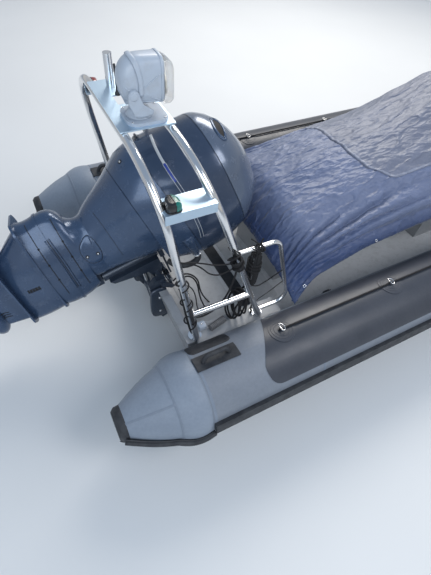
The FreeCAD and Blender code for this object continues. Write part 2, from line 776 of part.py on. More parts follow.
# Console with a raked wheel face and a screen that holds the cover's ridge.
front_x = console_aft_x + console_length
console_profile = [(console_aft_x, deck_z), (console_aft_x + 40, 0.64 * console_top_z),
                   (console_aft_x + 130, 0.8 * console_top_z), (console_aft_x + 240, console_top_z),
                   (front_x - 190, console_top_z), (front_x - 80, 0.7 * console_top_z), (front_x, deck_z)]
console = side_plate(console_profile, -console_half_width, console_half_width)
nodes["console"] = console.common(below_cover)


# Outboard engine. It is modelled upright: a counts aft of the steering axis,
# u up from the tilt pin's height and s to starboard. Then it is turned to its
# steering angle, set behind the tilt pin and tilted up.
pivot = Vector(pivot_x, 0, pivot_z)
tilt_turn = Rotation(Vector(0, 1, 0), tilt_at_rest)
steer_turn = Rotation(Vector(0, 0, 1), steer_at_rest)
tilt_place = Placement(pivot, tilt_turn)
engine_place = tilt_place.multiply(Placement(Vector(-steer_offset, 0, 0), steer_turn))


def tilted(shape):
    shape.Placement = tilt_place.multiply(shape.Placement)
    return shape


def steered(shape):
    shape.Placement = engine_place.multiply(shape.Placement)
    return shape


# Clamp brackets on the transom's face.
bracket_profile = [(transom_face(330), 330), (transom_face(40), 40), (transom_face(20) - 40, 20),
                   (transom_face(120) - 75, 120), (pivot_x - 95, 400), (pivot_x - 45, 455),
                   (pivot_x + 20, 455), (pivot_x + 32, 400), (pivot_x + 20, transom_top_z),
                   (transom_face(transom_top_z), transom_top_z)]
clamps = []
for side in (-1, 1):
    inner = side * (clamp_half_span - clamp_plate)
    outer = side * clamp_half_span
    plate = side_plate(bracket_profile, min(inner, outer), max(inner, outer))
    clamps.append(plate.cut(rod((pivot_x, -300, pivot_z), (pivot_x, 300, pivot_z), 22.3)))
cross = rod((transom_face(cross_z) - cross_offset, -clamp_half_span + 5, cross_z),
            (transom_face(cross_z) - cross_offset, clamp_half_span - 5, cross_z), 16)
nodes["clamp_brackets"] = fused([clamps[0], cross, clamps[1]])

# Tilt ram between the clamp brackets: the barrel stands on the cross tube and
# its rod's eye lies at the swivel bracket's pin, at (ram_eye_x, ram_eye_z) upright.
ram_foot = Vector(transom_face(cross_z) - cross_offset, 0, cross_z)
ram_eye = pivot.add(tilt_turn.multVec(Vector(ram_eye_x, 0, ram_eye_z)))
ram_line = ram_eye.sub(ram_foot).normalize()
barrel_foot = ram_foot + ram_line * (16 + seat_gap)
barrel = Part.makeCylinder(ram_barrel_radius, ram_barrel_length - 16 - seat_gap, barrel_foot, ram_line)
bore = Part.makeCylinder(ram_rod_radius + rod_clearance, ram_barrel_length, ram_foot + ram_line * 40, ram_line)
nodes["tilt_cylinder"] = barrel.cut(bore)
rod_start = ram_foot + ram_line * (45 + ram_stroke)
ram_rod = Part.makeCylinder(ram_rod_radius, ram_eye.sub(rod_start).Length, rod_start, ram_line)
eye = rod((ram_eye.x, -18, ram_eye.z), (ram_eye.x, 18, ram_eye.z), 15)
nodes["tilt_rod"] = ram_rod.fuse(eye).cut(rod((ram_eye.x, -30, ram_eye.z), (ram_eye.x, 30, ram_eye.z), 8))

# Swivel bracket: tilt tube, two cheeks, steering tube and the bar that the
# steering ram slides on.
tilt_tube = rod((0, -clamp_half_span - 12, 0), (0, clamp_half_span + 12, 0), 22)
web_profile = [(28, -28), (28, 28), (-40, 48), (-steer_offset, 48), (-steer_offset, -300), (-100, -280),
               (-58, -110), (-52, -52)]
cheeks = [side_plate(web_profile, -swivel_half_width, -ram_slot_half),
          side_plate(web_profile, ram_slot_half, swivel_half_width)]
steer_tube = rod((-steer_offset, 0, steer_tube_low), (-steer_offset, 0, steer_tube_high), steer_tube_radius)
bar_arms = []
arm_profile = [(-20, -12), (12, -20), (bar_x + 16, bar_z - 10), (bar_x + 8, bar_z + 18), (-14, 18)]
for y in (-clamp_half_span - 22, clamp_half_span + 12):
    bar_arms.append(side_plate(arm_profile, y, y + 10))
bar = rod((bar_x, -clamp_half_span - 14, bar_z), (bar_x, clamp_half_span + 14, bar_z), bar_radius)
kingpin_room = rod((-steer_offset, 0, -600), (-steer_offset, 0, 300), kingpin_radius + rod_clearance)
swivel = fused([tilt_tube] + cheeks + [steer_tube] + bar_arms + [bar]).cut(kingpin_room)
nodes["swivel_bracket"] = tilted(swivel)

# Steering ram on its bar. It stands where the steering angle puts it.
tiller_reach = steer_offset + bar_x
ram_y = tiller_reach * math.sin(math.radians(steer_at_rest))
ram_body = rod((bar_x, ram_y - steer_ram_half, bar_z), (bar_x, ram_y + steer_ram_half, bar_z), 26)
ram_body = ram_body.cut(rod((bar_x, -300, bar_z), (bar_x, 300, bar_z), bar_radius + rod_clearance))
nodes["steering_ram"] = tilted(ram_body)


# A level section of the engine, from -aft to -fore in X: long tapers aft, short
# ones forward, and every corner rounded.
def engine_section(u, fore_a, aft_a, half):
    x0, x1 = -aft_a, -fore_a
    aft_run = 0.30 * (x1 - x0)
    fore_run = 0.25 * (x1 - x0)
    plan = symmetric([(x0, 0.45 * half), (x0 + aft_run, half), (x1 - fore_run, half), (x1, 0.7 * half)])
    return rounded_wire([(x, y, u) for x, y in plan])


def engine_loft(rows, ruled=False):
    return Part.makeLoft([engine_section(*row) for row in rows], True, ruled)


def shrunk(rows, depth):
    return [(u, fore + depth, aft - depth, half - depth) for u, fore, aft, half in rows]


# Everything below, or above, a slanted parting plane u = level - slope * a.
def side_of(seam, offset, far_u):
    level, slope = seam
    left, right = -1500, 500
    line = [(left, level + slope * left + offset), (right, level + slope * right + offset)]
    return side_plate(line + [(right, far_u), (left, far_u)], -600, 600)


def below(seam, offset=0.0):
    return side_of(seam, offset, -1500)


def above(seam, offset=0.0):
    return side_of(seam, offset, 2000)


apron_seam = (110, 0.157)
cowl_seam = (319, 0.20)
dome_seam = (655, 0.13)

# Rows: u, fore a, aft a, half width.
apron_rows = [
    (-260, 52, 448, 126),
    (-150, 52, 520, 158),
    (0, 50, 612, 222),
    (100, 50, 676, 256),
    (200, 50, 702, 284),
]
cowl_rows = [
    (-150, -20, 520, 158),
    (0, -20, 612, 222),
    (100, -30, 676, 256),
    (200, -58, 702, 284),
    (300, -78, 706, 300),
    (420, -82, 708, 304),
    (520, -68, 706, 302),
    (600, -42, 700, 296),
    (660, -12, 672, 280),
    (720, 32, 622, 246),
    (780, 85, 540, 190),
    (822, 140, 448, 130),
    (850, 205, 350, 62),
]
cowl_body = engine_loft(cowl_rows)
cowl_core = engine_loft(shrunk(cowl_rows[1:], groove_depth))


def groove(seam):
    return below(seam, groove_half).cut(below(seam, -groove_half)).cut(cowl_core)


apron = engine_loft(apron_rows).common(below(apron_seam, -seat_gap))
nodes["apron"] = steered(apron.cut(groove(apron_seam)))
swivel_room = box(-52, 300, -400, 400, -300, cowl_floor_u)
cowl_lower = cowl_body.common(above(apron_seam)).common(below(cowl_seam, -seat_gap)).cut(swivel_room)
nodes["cowl_lower"] = steered(cowl_lower.cut(groove(cowl_seam)))
cowl = cowl_body.common(above(cowl_seam)).common(below(dome_seam, -seat_gap))
nodes["cowl"] = steered(cowl.cut(groove(cowl_seam)).cut(groove(dome_seam)))
nodes["cowl_top"] = steered(cowl_body.common(above(dome_seam)).cut(groove(dome_seam)))

mid_rows = [
    (splash_u, -40, 560, 125),
    (-480, -50, 556, 126),
    (-394, -30, 542, 128),
    (-350, -5, 480, 128),
]
neck_rows = [
    (-353, 52, 477, 127),
    (-308, 52, 439, 127),
    (-260, 52, 448, 126),
]
bead = engine_loft(shrunk(mid_rows, -5)).common(box(-1000, 500, -400, 400, -494, -480))
midsection_forms = [engine_loft(mid_rows), engine_loft(neck_rows), bead]
nodes["midsection"] = steered(fused(midsection_forms))

# Gearcase: leg, anti-splash and anti-ventilation plates, torpedo and skeg.
lower_rows = [
    (plate_u, -50, 400, 75),
    (-720, -52, 470, 105),
    (splash_u - splash_thickness, -45, 540, 122),
]
strut_rows = [
    (prop_axis_u, 10, 330, 34),
    (plate_u - plate_thickness, -30, 390, 50),
]
splash_plan = symmetric([(-588, 96), (-540, 130), (-200, 136), (20, 112), (44, 60)])
splash_plate = rounded_flat(splash_plan, splash_u - splash_thickness, splash_u)
plate_plan = symmetric([(-640, 60), (-600, 122), (-350, 130), (20, 110), (52, 50)])
plate = rounded_flat(plate_plan, plate_u - plate_thickness, plate_u)
nose_x = 50.0
bullet = [(nose_x, 0), (nose_x - 22, 0.46 * gearcase_radius), (nose_x - 90, 0.92 * gearcase_radius),
          (nose_x - 200, gearcase_radius), (nose_x - gearcase_length, 0.8 * gearcase_radius)]
curve = Part.BSplineCurve()
curve.interpolate([Vector(x, 0, r) for x, r in bullet])
tail = [Vector(bullet[-1][0], 0, bullet[-1][1]), Vector(bullet[-1][0], 0, 0), Vector(nose_x, 0, 0)]
outline = Part.Wire([curve.toShape(), Part.LineSegment(tail[0], tail[1]).toShape(),
                     Part.LineSegment(tail[1], tail[2]).toShape()])
torpedo = Part.Face(outline).revolve(Vector(0, 0, 0), Vector(1, 0, 0), 360)
torpedo.translate(Vector(0, 0, prop_axis_u))
skeg_top = prop_axis_u - 60
skeg_profile = [(-80, skeg_top), (-330, skeg_top), (-375, prop_axis_u - skeg_depth), (-250, prop_axis_u - skeg_depth)]
skeg = side_plate(skeg_profile, -skeg_thickness / 2, skeg_thickness / 2)
shaft = Part.makeCylinder(shaft_radius, 160, Vector(-420, 0, prop_axis_u), Vector(-1, 0, 0))
lower_unit = [engine_loft(lower_rows), splash_plate, plate, engine_loft(strut_rows, True), torpedo, skeg, shaft]
nodes["gearcase"] = steered(fused(lower_unit))

# Steering yokes above and below the swivel bracket, on the kingpin, with the
# tiller arm that reaches forward over the steering ram.
yoke_gap = 5.0
arm_low = bar_z + 26 + 4
upper_yoke = box(-70, 40, -55, 55, steer_tube_high + yoke_gap, 98)
lower_yoke = box(-70, 24, -55, 55, -400, steer_tube_low - yoke_gap)
tiller_arm = box(30, tiller_reach + 14, -20, 20, arm_low, arm_low + 12)
kingpin = rod((0, 0, -370), (0, 0, 80), kingpin_radius)
yokes = fused([upper_yoke, kingpin, lower_yoke, tiller_arm])
for form in [apron] + midsection_forms:
    yokes = yokes.cut(form)
nodes["steering_yokes"] = steered(yokes)


# Propeller: a hub and three blades. A blade's sections are lens-shaped, turn
# with the pitch and lean aft with the rake.
def blade_section(radius, chord, thickness):
    pitch = math.atan2(prop_pitch, 2 * math.pi * radius)
    along = Vector(math.sin(pitch), math.cos(pitch), 0) * (chord / 2)
    across = Vector(math.cos(pitch), -math.sin(pitch), 0) * (thickness / 2)
    centre = Vector(-prop_rake * (radius - hub_radius), 0, radius)
    lens = [(1, 0), (0.6, 0.7), (0, 1), (-0.6, 0.7), (-1, 0), (-0.6, -0.7), (0, -1), (0.6, -0.7), (1, 0)]
    return Part.makePolygon([centre + along * a + across * b for a, b in lens])


# Rows: radius and chord as shares of the propeller's radius, and thickness.
blade_rows = [(0.22, 0.52, 16), (0.36, 0.72, 12), (0.52, 0.87, 10), (0.68, 0.93, 8), (0.82, 0.86, 7),
              (0.92, 0.66, 5), (0.98, 0.40, 4), (1.0, 0.16, 3)]
blade_form = Part.makeLoft([blade_section(r * prop_radius, c * prop_radius, t) for r, c, t in blade_rows], True, True)
hub_start = -prop_a + 8
hub = Part.makeCylinder(hub_radius, hub_length, Vector(hub_start, 0, 0), Vector(-1, 0, 0))
blades = []
for turn in (20, 140, 260):
    blade = blade_form.copy()
    blade.translate(Vector(hub_start - 0.5 * hub_length, 0, 0))
    blade.rotate(Vector(0, 0, 0), Vector(1, 0, 0), turn)
    blades.append(blade)
shaft_room = Part.makeCylinder(shaft_radius + rod_clearance, 170, Vector(-400, 0, 0), Vector(-1, 0, 0))
propeller = fused([hub] + blades).cut(shaft_room)
propeller.translate(Vector(0, 0, prop_axis_u))
nodes["propeller"] = steered(propeller)

os.makedirs("parts", exist_ok=True)
for name, shape in nodes.items():
    shape.exportStep(os.path.join("parts", name + ".step"))
    solids = shape.Solids
    print("%-22s solids %2d valid %s volume %.4f" % (name, len(solids), shape.isValid(), sum(s.Volume for s in solids) / 1e9))
print(len(nodes), "nodes")
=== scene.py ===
import json
import math

import bmesh
import bpy
import numpy as np
from mathutils import Matrix, Vector, noise
from mathutils.bvhtree import BVHTree


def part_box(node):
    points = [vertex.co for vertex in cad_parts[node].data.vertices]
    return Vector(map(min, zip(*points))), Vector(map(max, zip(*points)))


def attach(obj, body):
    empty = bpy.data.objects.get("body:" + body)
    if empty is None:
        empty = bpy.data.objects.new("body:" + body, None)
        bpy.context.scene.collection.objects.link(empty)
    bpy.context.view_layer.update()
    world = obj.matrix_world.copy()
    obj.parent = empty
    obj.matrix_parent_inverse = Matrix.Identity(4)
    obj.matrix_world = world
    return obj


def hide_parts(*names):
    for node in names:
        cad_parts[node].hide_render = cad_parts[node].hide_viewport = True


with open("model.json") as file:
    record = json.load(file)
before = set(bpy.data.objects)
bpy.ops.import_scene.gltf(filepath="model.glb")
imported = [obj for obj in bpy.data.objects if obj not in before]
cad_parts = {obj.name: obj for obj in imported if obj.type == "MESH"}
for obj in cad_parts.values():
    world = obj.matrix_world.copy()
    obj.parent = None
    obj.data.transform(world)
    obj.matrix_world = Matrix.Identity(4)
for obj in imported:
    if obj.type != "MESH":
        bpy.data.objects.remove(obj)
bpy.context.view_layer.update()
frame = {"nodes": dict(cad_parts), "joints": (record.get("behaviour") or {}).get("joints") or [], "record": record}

# Camera, in metres and degrees. Yaw turns from the bow towards port.
camera_place = Vector((-3.20, -1.819, 2.539))
camera_yaw = 57.30
camera_pitch = -50.72
camera_roll = 6.85
camera_lens = 25.31
camera_sensor = 36.0

# Stage
water_z = 0.0
floor_half = 40.0

# Where a side lamp's lens meets its body
lamp_split_x = -2.664
# Outer face of each clamp bracket, off the centre line
clamp_cheek_y = 0.176

joints = {j["name"]: j for j in frame["joints"]}


def point(joint):
    return Vector(joints[joint]["pos_m"])


def way(joint):
    return Vector(joints[joint]["axis"]).normalized()


def columns(x, y, z, origin):
    turned = Matrix((x, y, z)).transposed().to_4x4()
    turned.translation = origin
    return turned


# The engine's own frame: forward, port and up along the steering axis.
engine_up = way("engine_steer")
engine_forward = way("propeller_spin")
engine_frame = columns(engine_forward, engine_up.cross(engine_forward), engine_up, point("engine_steer"))


side_names = {-1: "starboard", 1: "port"}


def make_camera():
    yaw, pitch, roll = (math.radians(v) for v in (camera_yaw, camera_pitch, camera_roll))
    ahead = Vector((math.cos(pitch) * math.cos(yaw), math.cos(pitch) * math.sin(yaw), math.sin(pitch)))
    level = ahead.cross(Vector((0, 0, 1))).normalized()
    over = level.cross(ahead)
    right = math.cos(roll) * level + math.sin(roll) * over
    up = math.cos(roll) * over - math.sin(roll) * level
    lens = bpy.data.cameras.new("camera")
    lens.lens = camera_lens
    lens.sensor_width = camera_sensor
    made = bpy.data.objects.new("camera", lens)
    made.matrix_world = columns(right, up, -ahead, camera_place)
    bpy.context.scene.collection.objects.link(made)
    bpy.context.scene.camera = made


# Shader helpers. Each takes and gives sockets of one material's node tree.
class Shader:
    def __init__(self, name):
        self.material = bpy.data.materials.new(name)
        self.material.use_nodes = True
        self.tree = self.material.node_tree
        self.base = self.tree.nodes["Principled BSDF"]
        self.coords = None

    def node(self, kind, settings=(), **inputs):
        made = self.tree.nodes.new(kind)
        for key, value in dict(settings).items():
            setattr(made, key, value)
        for key, value in inputs.items():
            self.plug(made.inputs[key.replace("_", " ")], value)
        return made

    def plug(self, socket, value):
        if isinstance(value, bpy.types.NodeSocket):
            self.tree.links.new(value, socket)
        elif socket.type == "RGBA" and len(value) == 3:
            socket.default_value = (*value, 1)
        else:
            socket.default_value = value

    def place(self):
        if self.coords is None:
            self.coords = self.node("ShaderNodeTexCoord").outputs["Object"]
        return self.coords

    def stretched(self, scale):
        return self.node("ShaderNodeMapping", Vector=self.place(), Scale=scale).outputs["Vector"]

    def noise(self, scale, detail=3.0, rough=0.5, at=None):
        made = self.node("ShaderNodeTexNoise", Vector=at or self.place(), Scale=scale, Detail=detail,
                         Roughness=rough)
        return made.outputs["Fac"]

    def ramp(self, value, *stops):
        made = self.node("ShaderNodeValToRGB", Fac=value)
        while len(made.color_ramp.elements) < len(stops):
            made.color_ramp.elements.new(0.5)
        for element, (at, colour) in zip(made.color_ramp.elements, stops):
            element.position = at
            element.color = tuple(colour) + (1,) if len(colour) == 3 else colour
        return made.outputs["Color"]

    def sharp_lines(self, value, narrow):
        """Thin ridges where a noise passes its middle, none elsewhere."""
        away = self.maths("MULTIPLY", self.maths("ABSOLUTE", self.maths("SUBTRACT", value, 0.5)), narrow)
        return self.maths("MAXIMUM", self.maths("SUBTRACT", 1.0, away), 0.0)

    def grey_ramp(self, value, *stops):
        return self.ramp(value, *[(at, (level,) * 3) for at, level in stops])

    def mix(self, share, a, b, blend="MIX"):
        made = self.node("ShaderNodeMix", {"data_type": "RGBA", "blend_type": blend})
        self.plug(made.inputs[0], share)
        self.plug(made.inputs[6], a if isinstance(a, bpy.types.NodeSocket) else tuple(a) + (1,))
        self.plug(made.inputs[7], b if isinstance(b, bpy.types.NodeSocket) else tuple(b) + (1,))
        return made.outputs[2]

    def maths(self, operation, a, b=0.0):
        made = self.node("ShaderNodeMath", {"operation": operation})
        self.plug(made.inputs[0], a)
        self.plug(made.inputs[1], b)
        return made.outputs[0]

    def bump(self, height, strength, distance, below=None):
        made = self.node("ShaderNodeBump", Height=height, Strength=strength, Distance=distance)
        if below is not None:
            self.plug(made.inputs["Normal"], below)
        return made.outputs["Normal"]

    def set(self, **inputs):
        for key, value in inputs.items():
            self.plug(self.base.inputs[key.replace("_", " ")], value)
        return self.material


def coated_fabric(name, dark, light, rough=0.55):
    """Coated tube fabric: a fine weave under the coating, soft blotches and a little dirt."""
    s = Shader(name)
    blotch = s.noise(2.3, 4.0, 0.6)
    colour = s.ramp(blotch, (0.3, dark), (0.7, light))
    speck = s.grey_ramp(s.noise(55.0, 5.0, 0.7), (0.35, 0.75), (0.62, 1.0))
    colour = s.mix(0.35, colour, speck, "MULTIPLY")
    weave = s.noise(900.0, 1.0)
    dents = s.noise(9.0, 3.0, 0.5)
    normal = s.bump(weave, 0.18, 0.0006)
    normal = s.bump(dents, 0.25, 0.004, normal)
    gloss = s.maths("ADD", s.maths("MULTIPLY", s.noise(14.0, 4.0), 0.18), rough - 0.09)
    return s.set(Base_Color=colour, Roughness=gloss, Normal=normal, Specular_IOR_Level=0.45)


def rubber(name, dark, light, rough=0.6, grain=380.0):
    s = Shader(name)
    dust = s.ramp(s.noise(18.0, 5.0, 0.65), (0.35, dark), (0.8, light))
    normal = s.bump(s.noise(grain, 2.0), 0.25, 0.0008)
    gloss = s.maths("ADD", s.maths("MULTIPLY", s.noise(30.0, 3.0), 0.25), rough - 0.12)
    return s.set(Base_Color=dust, Roughness=gloss, Normal=normal)


def polished_steel(name, tint, rough=0.12, streak=(4.0, 4.0, 60.0)):
    """Polished tube with fine draw marks and water spots."""
    s = Shader(name)
    marks = s.noise(6.0, 6.0, 0.6, at=s.stretched(streak))
    spots = s.grey_ramp(s.noise(120.0, 2.0), (0.60, 0.0), (0.72, 1.0))
    colour = s.mix(s.maths("MULTIPLY", spots, 0.12), tint, (0.55, 0.53, 0.50))
    gloss = s.maths("ADD", s.maths("MULTIPLY", marks, 0.16), rough - 0.05)
    return s.set(Base_Color=colour, Metallic=1.0, Roughness=gloss, Normal=s.bump(marks, 0.04, 0.0008))


def moulded(name, colour, wear_and_fold_shading, rough=0.35, grain=240.0, coat=0.0):
    """Moulded plastic or gelcoat with slight orange peel, scuffs and grime."""
    s = Shader(name)
    scuff = s.grey_ramp(s.noise(22.0, 6.0, 0.7), (0.48, 0.0), (0.75, 1.0))
    tone = s.mix(s.maths("MULTIPLY", scuff, 0.45), colour, wear_and_fold_shading)
    gloss = s.maths("ADD", s.maths("MULTIPLY", s.noise(40.0, 3.0), 0.2), rough - 0.1)
    normal = s.bump(s.noise(grain, 2.0), 0.06, 0.0008)
    return s.set(Base_Color=tone, Roughness=gloss, Normal=normal, Coat_Weight=coat)


def metallic_paint(name, dark, light, rough=0.28, flake=2600.0, coat=0.4):
    """Lacquer with metal flake, faint water marks and scuffs."""
    s = Shader(name)
    cells = s.node("ShaderNodeTexVoronoi", Vector=s.place(), Scale=flake).outputs["Color"]
    spark = s.node("ShaderNodeRGBToBW", Color=cells).outputs["Val"]
    tone = s.ramp(s.noise(3.0, 3.0), (0.3, dark), (0.7, light))
    tone = s.mix(s.maths("MULTIPLY", spark, 0.10), tone, (0.36, 0.45, 0.60))
    marks = s.grey_ramp(s.noise(16.0, 7.0, 0.7), (0.55, 0.0), (0.8, 1.0))
    tone = s.mix(s.maths("MULTIPLY", marks, 0.10), tone, (0.45, 0.47, 0.50))
    gloss = s.maths("ADD", s.maths("MULTIPLY", marks, 0.18), rough)
    normal = s.bump(s.noise(420.0, 1.0), 0.03, 0.0005)
    return s.set(Base_Color=tone, Metallic=0.30, Roughness=gloss, Normal=normal, Coat_Weight=coat,
                 Coat_Roughness=0.10)


def clear_plastic(name, tint):
    s = Shader(name)
    haze = s.grey_ramp(s.noise(35.0, 5.0, 0.7), (0.4, 0.05), (0.8, 0.30))
    return s.set(Base_Color=tint, Roughness=haze, Transmission_Weight=0.85, IOR=1.3, Alpha=0.55)


def side_lamp(name, colour):
    """A side lamp: a black body aft and a coloured lens forward of the split."""
    s = Shader(name)
    x = s.node("ShaderNodeSeparateXYZ", Vector=s.place()).outputs["X"]
    fore = s.maths("GREATER_THAN", x, lamp_split_x)
    ribs = s.node("ShaderNodeTexWave", {"bands_direction": "Z"}, Vector=s.place(),
                  Scale=90.0).outputs["Fac"]
    glow = s.mix(s.noise(70.0, 3.0), colour, tuple(0.35 * c for c in colour))
    tone = s.mix(fore, (0.010, 0.010, 0.011), glow)
    gloss = s.maths("ADD", s.maths("MULTIPLY", s.noise(90.0, 2.0), 0.15), 0.14)
    return s.set(Base_Color=tone, Roughness=gloss, Coat_Weight=0.5, Normal=s.bump(ribs, 0.15, 0.0006))


def cloth(name, dark, light, unfaded_and_shaded):
    """Proofed woven cloth: sun-faded on top and darker low down, the dark partly painted shade, with painted
    highlights on the fold ridges, fine crinkles and a visible thread.
    """
    s = Shader(name)
    patchy = s.noise(1.9, 5.0, 0.6)
    fade_and_shade = s.ramp(patchy, (0.3, dark), (0.7, light))
    # Darker towards the bottom: partly cloth the sun has not faded, partly painted shade on the skirts.
    height = s.node("ShaderNodeSeparateXYZ", Vector=s.place()).outputs["Z"]
    low = s.maths("MULTIPLY", s.maths("SUBTRACT", 0.82, height), 5.5)
    fade_and_shade = s.mix(s.maths("MINIMUM", s.maths("MAXIMUM", low, 0.0), 0.85), fade_and_shade, unfaded_and_shaded)
    across = s.node("ShaderNodeTexWave", {"bands_direction": "X"}, Vector=s.place(),
                    Scale=420.0).outputs["Fac"]
    along = s.node("ShaderNodeTexWave", {"bands_direction": "Y"}, Vector=s.place(),
                   Scale=420.0).outputs["Fac"]
    thread = s.maths("MULTIPLY", across, along)
    folds = s.sharp_lines(s.noise(3.6, 2.5, 0.5, at=s.stretched((1.0, 2.6, 1.2))), 11.0)
    puckers = s.sharp_lines(s.noise(10.0, 2.5, 0.5, at=s.stretched((1.0, 2.2, 1.2))), 7.0)
    crinkle = s.noise(30.0, 3.0, 0.5)
    normal = s.bump(thread, 0.10, 0.0005)
    normal = s.bump(crinkle, 0.30, 0.004, normal)
    normal = s.bump(puckers, 0.45, 0.005, normal)
    normal = s.bump(folds, 0.70, 0.010, normal)
    # Lighter on the fold ridges and a little darker between them: partly wear, partly painted highlight and
    # painted shade.
    wear_and_fold_shading = s.grey_ramp(folds, (0.0, 0.94), (0.6, 1.0), (1.0, 1.06))
    tone = s.mix(0.8, fade_and_shade, wear_and_fold_shading, "MULTIPLY")
    return s.set(Base_Color=tone, Roughness=0.46, Normal=normal, Sheen_Weight=0.2)


def braided(name, dark, light):
    s = Shader(name)
    strands = s.node("ShaderNodeTexWave", {"bands_direction": "DIAGONAL"}, Vector=s.place(), Scale=260.0)
    tone = s.mix(strands.outputs["Fac"], dark, light)
    return s.set(Base_Color=tone, Roughness=0.8, Normal=s.bump(strands.outputs["Fac"], 0.5, 0.001))


looks = (
    # tube_grey, on the cones, is bluer as a painted sky reflection; the tubes' copy of the same fabric below it is
    # greyer and darker as painted shade.
    (coated_fabric, "tube_grey", (0.205, 0.245, 0.305), (0.255, 0.300, 0.365), 0.48),
    (coated_fabric, "tube_stone", (0.180, 0.205, 0.245), (0.225, 0.250, 0.290), 0.48),
    (coated_fabric, "tube_dark", (0.034, 0.040, 0.054), (0.056, 0.062, 0.078), 0.38),
    (coated_fabric, "seam_grey", (0.175, 0.21, 0.265), (0.225, 0.265, 0.325), 0.5),
    (rubber, "rubber_black", (0.016, 0.018, 0.023), (0.055, 0.058, 0.064)),
    (rubber, "rubber_gloss", (0.008, 0.008, 0.010), (0.028, 0.029, 0.032), 0.32),
    # The next black is painted shade, laid in the engine's slots, gaps, grooves and screw recesses.
    (rubber, "void_black", (0.003, 0.003, 0.004), (0.008, 0.008, 0.009), 0.7),
    (rubber, "hose_grey", (0.12, 0.12, 0.125), (0.20, 0.20, 0.20), 0.5),
    (moulded, "gelcoat", (0.34, 0.35, 0.365), (0.22, 0.22, 0.215), 0.35, 160.0, 0.2),
    (moulded, "deck_grey", (0.60, 0.61, 0.62), (0.30, 0.30, 0.29), 0.6, 120.0),
    (moulded, "deck_mat", (0.50, 0.51, 0.52), (0.28, 0.28, 0.28), 0.75, 700.0),
    (polished_steel, "stainless", (0.78, 0.78, 0.78)),
    # plate_metal's pale blue tint is a painted reflection of the sky.
    (polished_steel, "plate_metal", (0.58, 0.72, 0.84), 0.38, (60.0, 4.0, 4.0)),
    (side_lamp, "lamp_split_green", (0.00, 0.24, 0.19)),
    (side_lamp, "lamp_split_red", (0.35, 0.01, 0.01)),
    (polished_steel, "reflector", (0.80, 0.74, 0.66), 0.22, (1.0, 1.0, 1.0)),
    # white_plastic is darker and bluer than white plastic: partly painted shade.
    (moulded, "white_plastic", (0.44, 0.50, 0.58), (0.34, 0.35, 0.36), 0.36, 300.0, 0.15),
    (clear_plastic, "clear_cover", (0.92, 0.90, 0.86)),
    (metallic_paint, "engine_blue", (0.021, 0.048, 0.104), (0.031, 0.066, 0.136), 0.26),
    (metallic_paint, "engine_dark", (0.012, 0.020, 0.036), (0.020, 0.030, 0.050), 0.35),
    (metallic_paint, "cowl_navy", (0.017, 0.034, 0.072), (0.026, 0.047, 0.094), 0.22),
    (metallic_paint, "cowl_grey", (0.085, 0.113, 0.166), (0.112, 0.145, 0.206), 0.24),
    (moulded, "stripe_silver", (0.42, 0.45, 0.48), (0.30, 0.32, 0.34), 0.3, 300.0, 0.5),
    (moulded, "stripe_blue", (0.012, 0.040, 0.30), (0.02, 0.05, 0.22), 0.3, 300.0, 0.5),
    (moulded, "propeller_metal", (0.70, 0.71, 0.72), (0.35, 0.33, 0.30), 0.3, 200.0, 0.4),
    # Each cover cloth's last colour is its colour low down: partly unfaded cloth, partly painted shade.
    (cloth, "cover_cloth", (0.105, 0.140, 0.250), (0.155, 0.190, 0.305), (0.018, 0.045, 0.140)),
    (cloth, "cover_pale", (0.125, 0.145, 0.215), (0.170, 0.190, 0.260), (0.050, 0.070, 0.150)),
    (cloth, "cover_edge", (0.200, 0.225, 0.305), (0.245, 0.270, 0.350), (0.080, 0.105, 0.190)),
    (cloth, "cover_seam", (0.090, 0.125, 0.230), (0.130, 0.165, 0.280), (0.015, 0.038, 0.120)),
    (braided, "rope_black", (0.003, 0.003, 0.004), (0.016, 0.016, 0.019)),
)
materials = {name: make(name, *values) for make, name, *values in looks}

# Nodes whose look differs from their slot's
node_look = {
    # The side tubes take the greyer, darker copy of their fabric: painted shade.
    "tube_starboard": "tube_stone", "tube_port": "tube_stone", "lifeline_patches": "tube_dark",
    "cowl": "cowl_navy",
    "cowl_top": "cowl_grey", "lamp_starboard": "lamp_split_green", "lamp_port": "lamp_split_red",
}


def paint_nodes():
    slots = {row["node"]: row["material_slot"] for row in frame["record"]["subparts"]}
    for node, piece in frame["nodes"].items():
        piece.data.materials.clear()
        piece.data.materials.append(materials[node_look.get(node, slots[node])])


# Shapes on the engine are given in its own frame, in metres: a aft of the
# steering axis, u up along it and s to starboard.
def engine_point(a, u, s):
    return engine_frame @ Vector((-a, -s, u))


def add_mesh(name, verts, faces, look, body, smooth=True):
    mesh = bpy.data.meshes.new(name)
    mesh.from_pydata([tuple(v) for v in verts], [], faces)
    mesh.materials.append(materials[look])
    mesh.polygons.foreach_set("use_smooth", [smooth] * len(mesh.polygons))
    work = bmesh.new()
    work.from_mesh(mesh)
    bmesh.ops.recalc_face_normals(work, faces=work.faces)
    work.to_mesh(mesh)
    work.free()
    made = bpy.data.objects.new(name, mesh)
    bpy.context.scene.collection.objects.link(made)
    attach(made, body)
    return made


def full_turn(count):
    """Even angles round a circle."""
    return [2 * math.pi * k / count for k in range(count)]


def ring_faces(rings, count, joined=False):
    """The faces between rings of points, with a cap at each end unless the last ring joins the first."""
    faces = []
    for i in range(rings if joined else rings - 1):
        j = (i + 1) % rings
        for k in range(count):
            m = (k + 1) % count
            faces.append((i * count + k, i * count + m, j * count + m, j * count + k))
    if not joined:
        faces += [tuple(range(count)), tuple((rings - 1) * count + k for k in range(count))]
    return faces


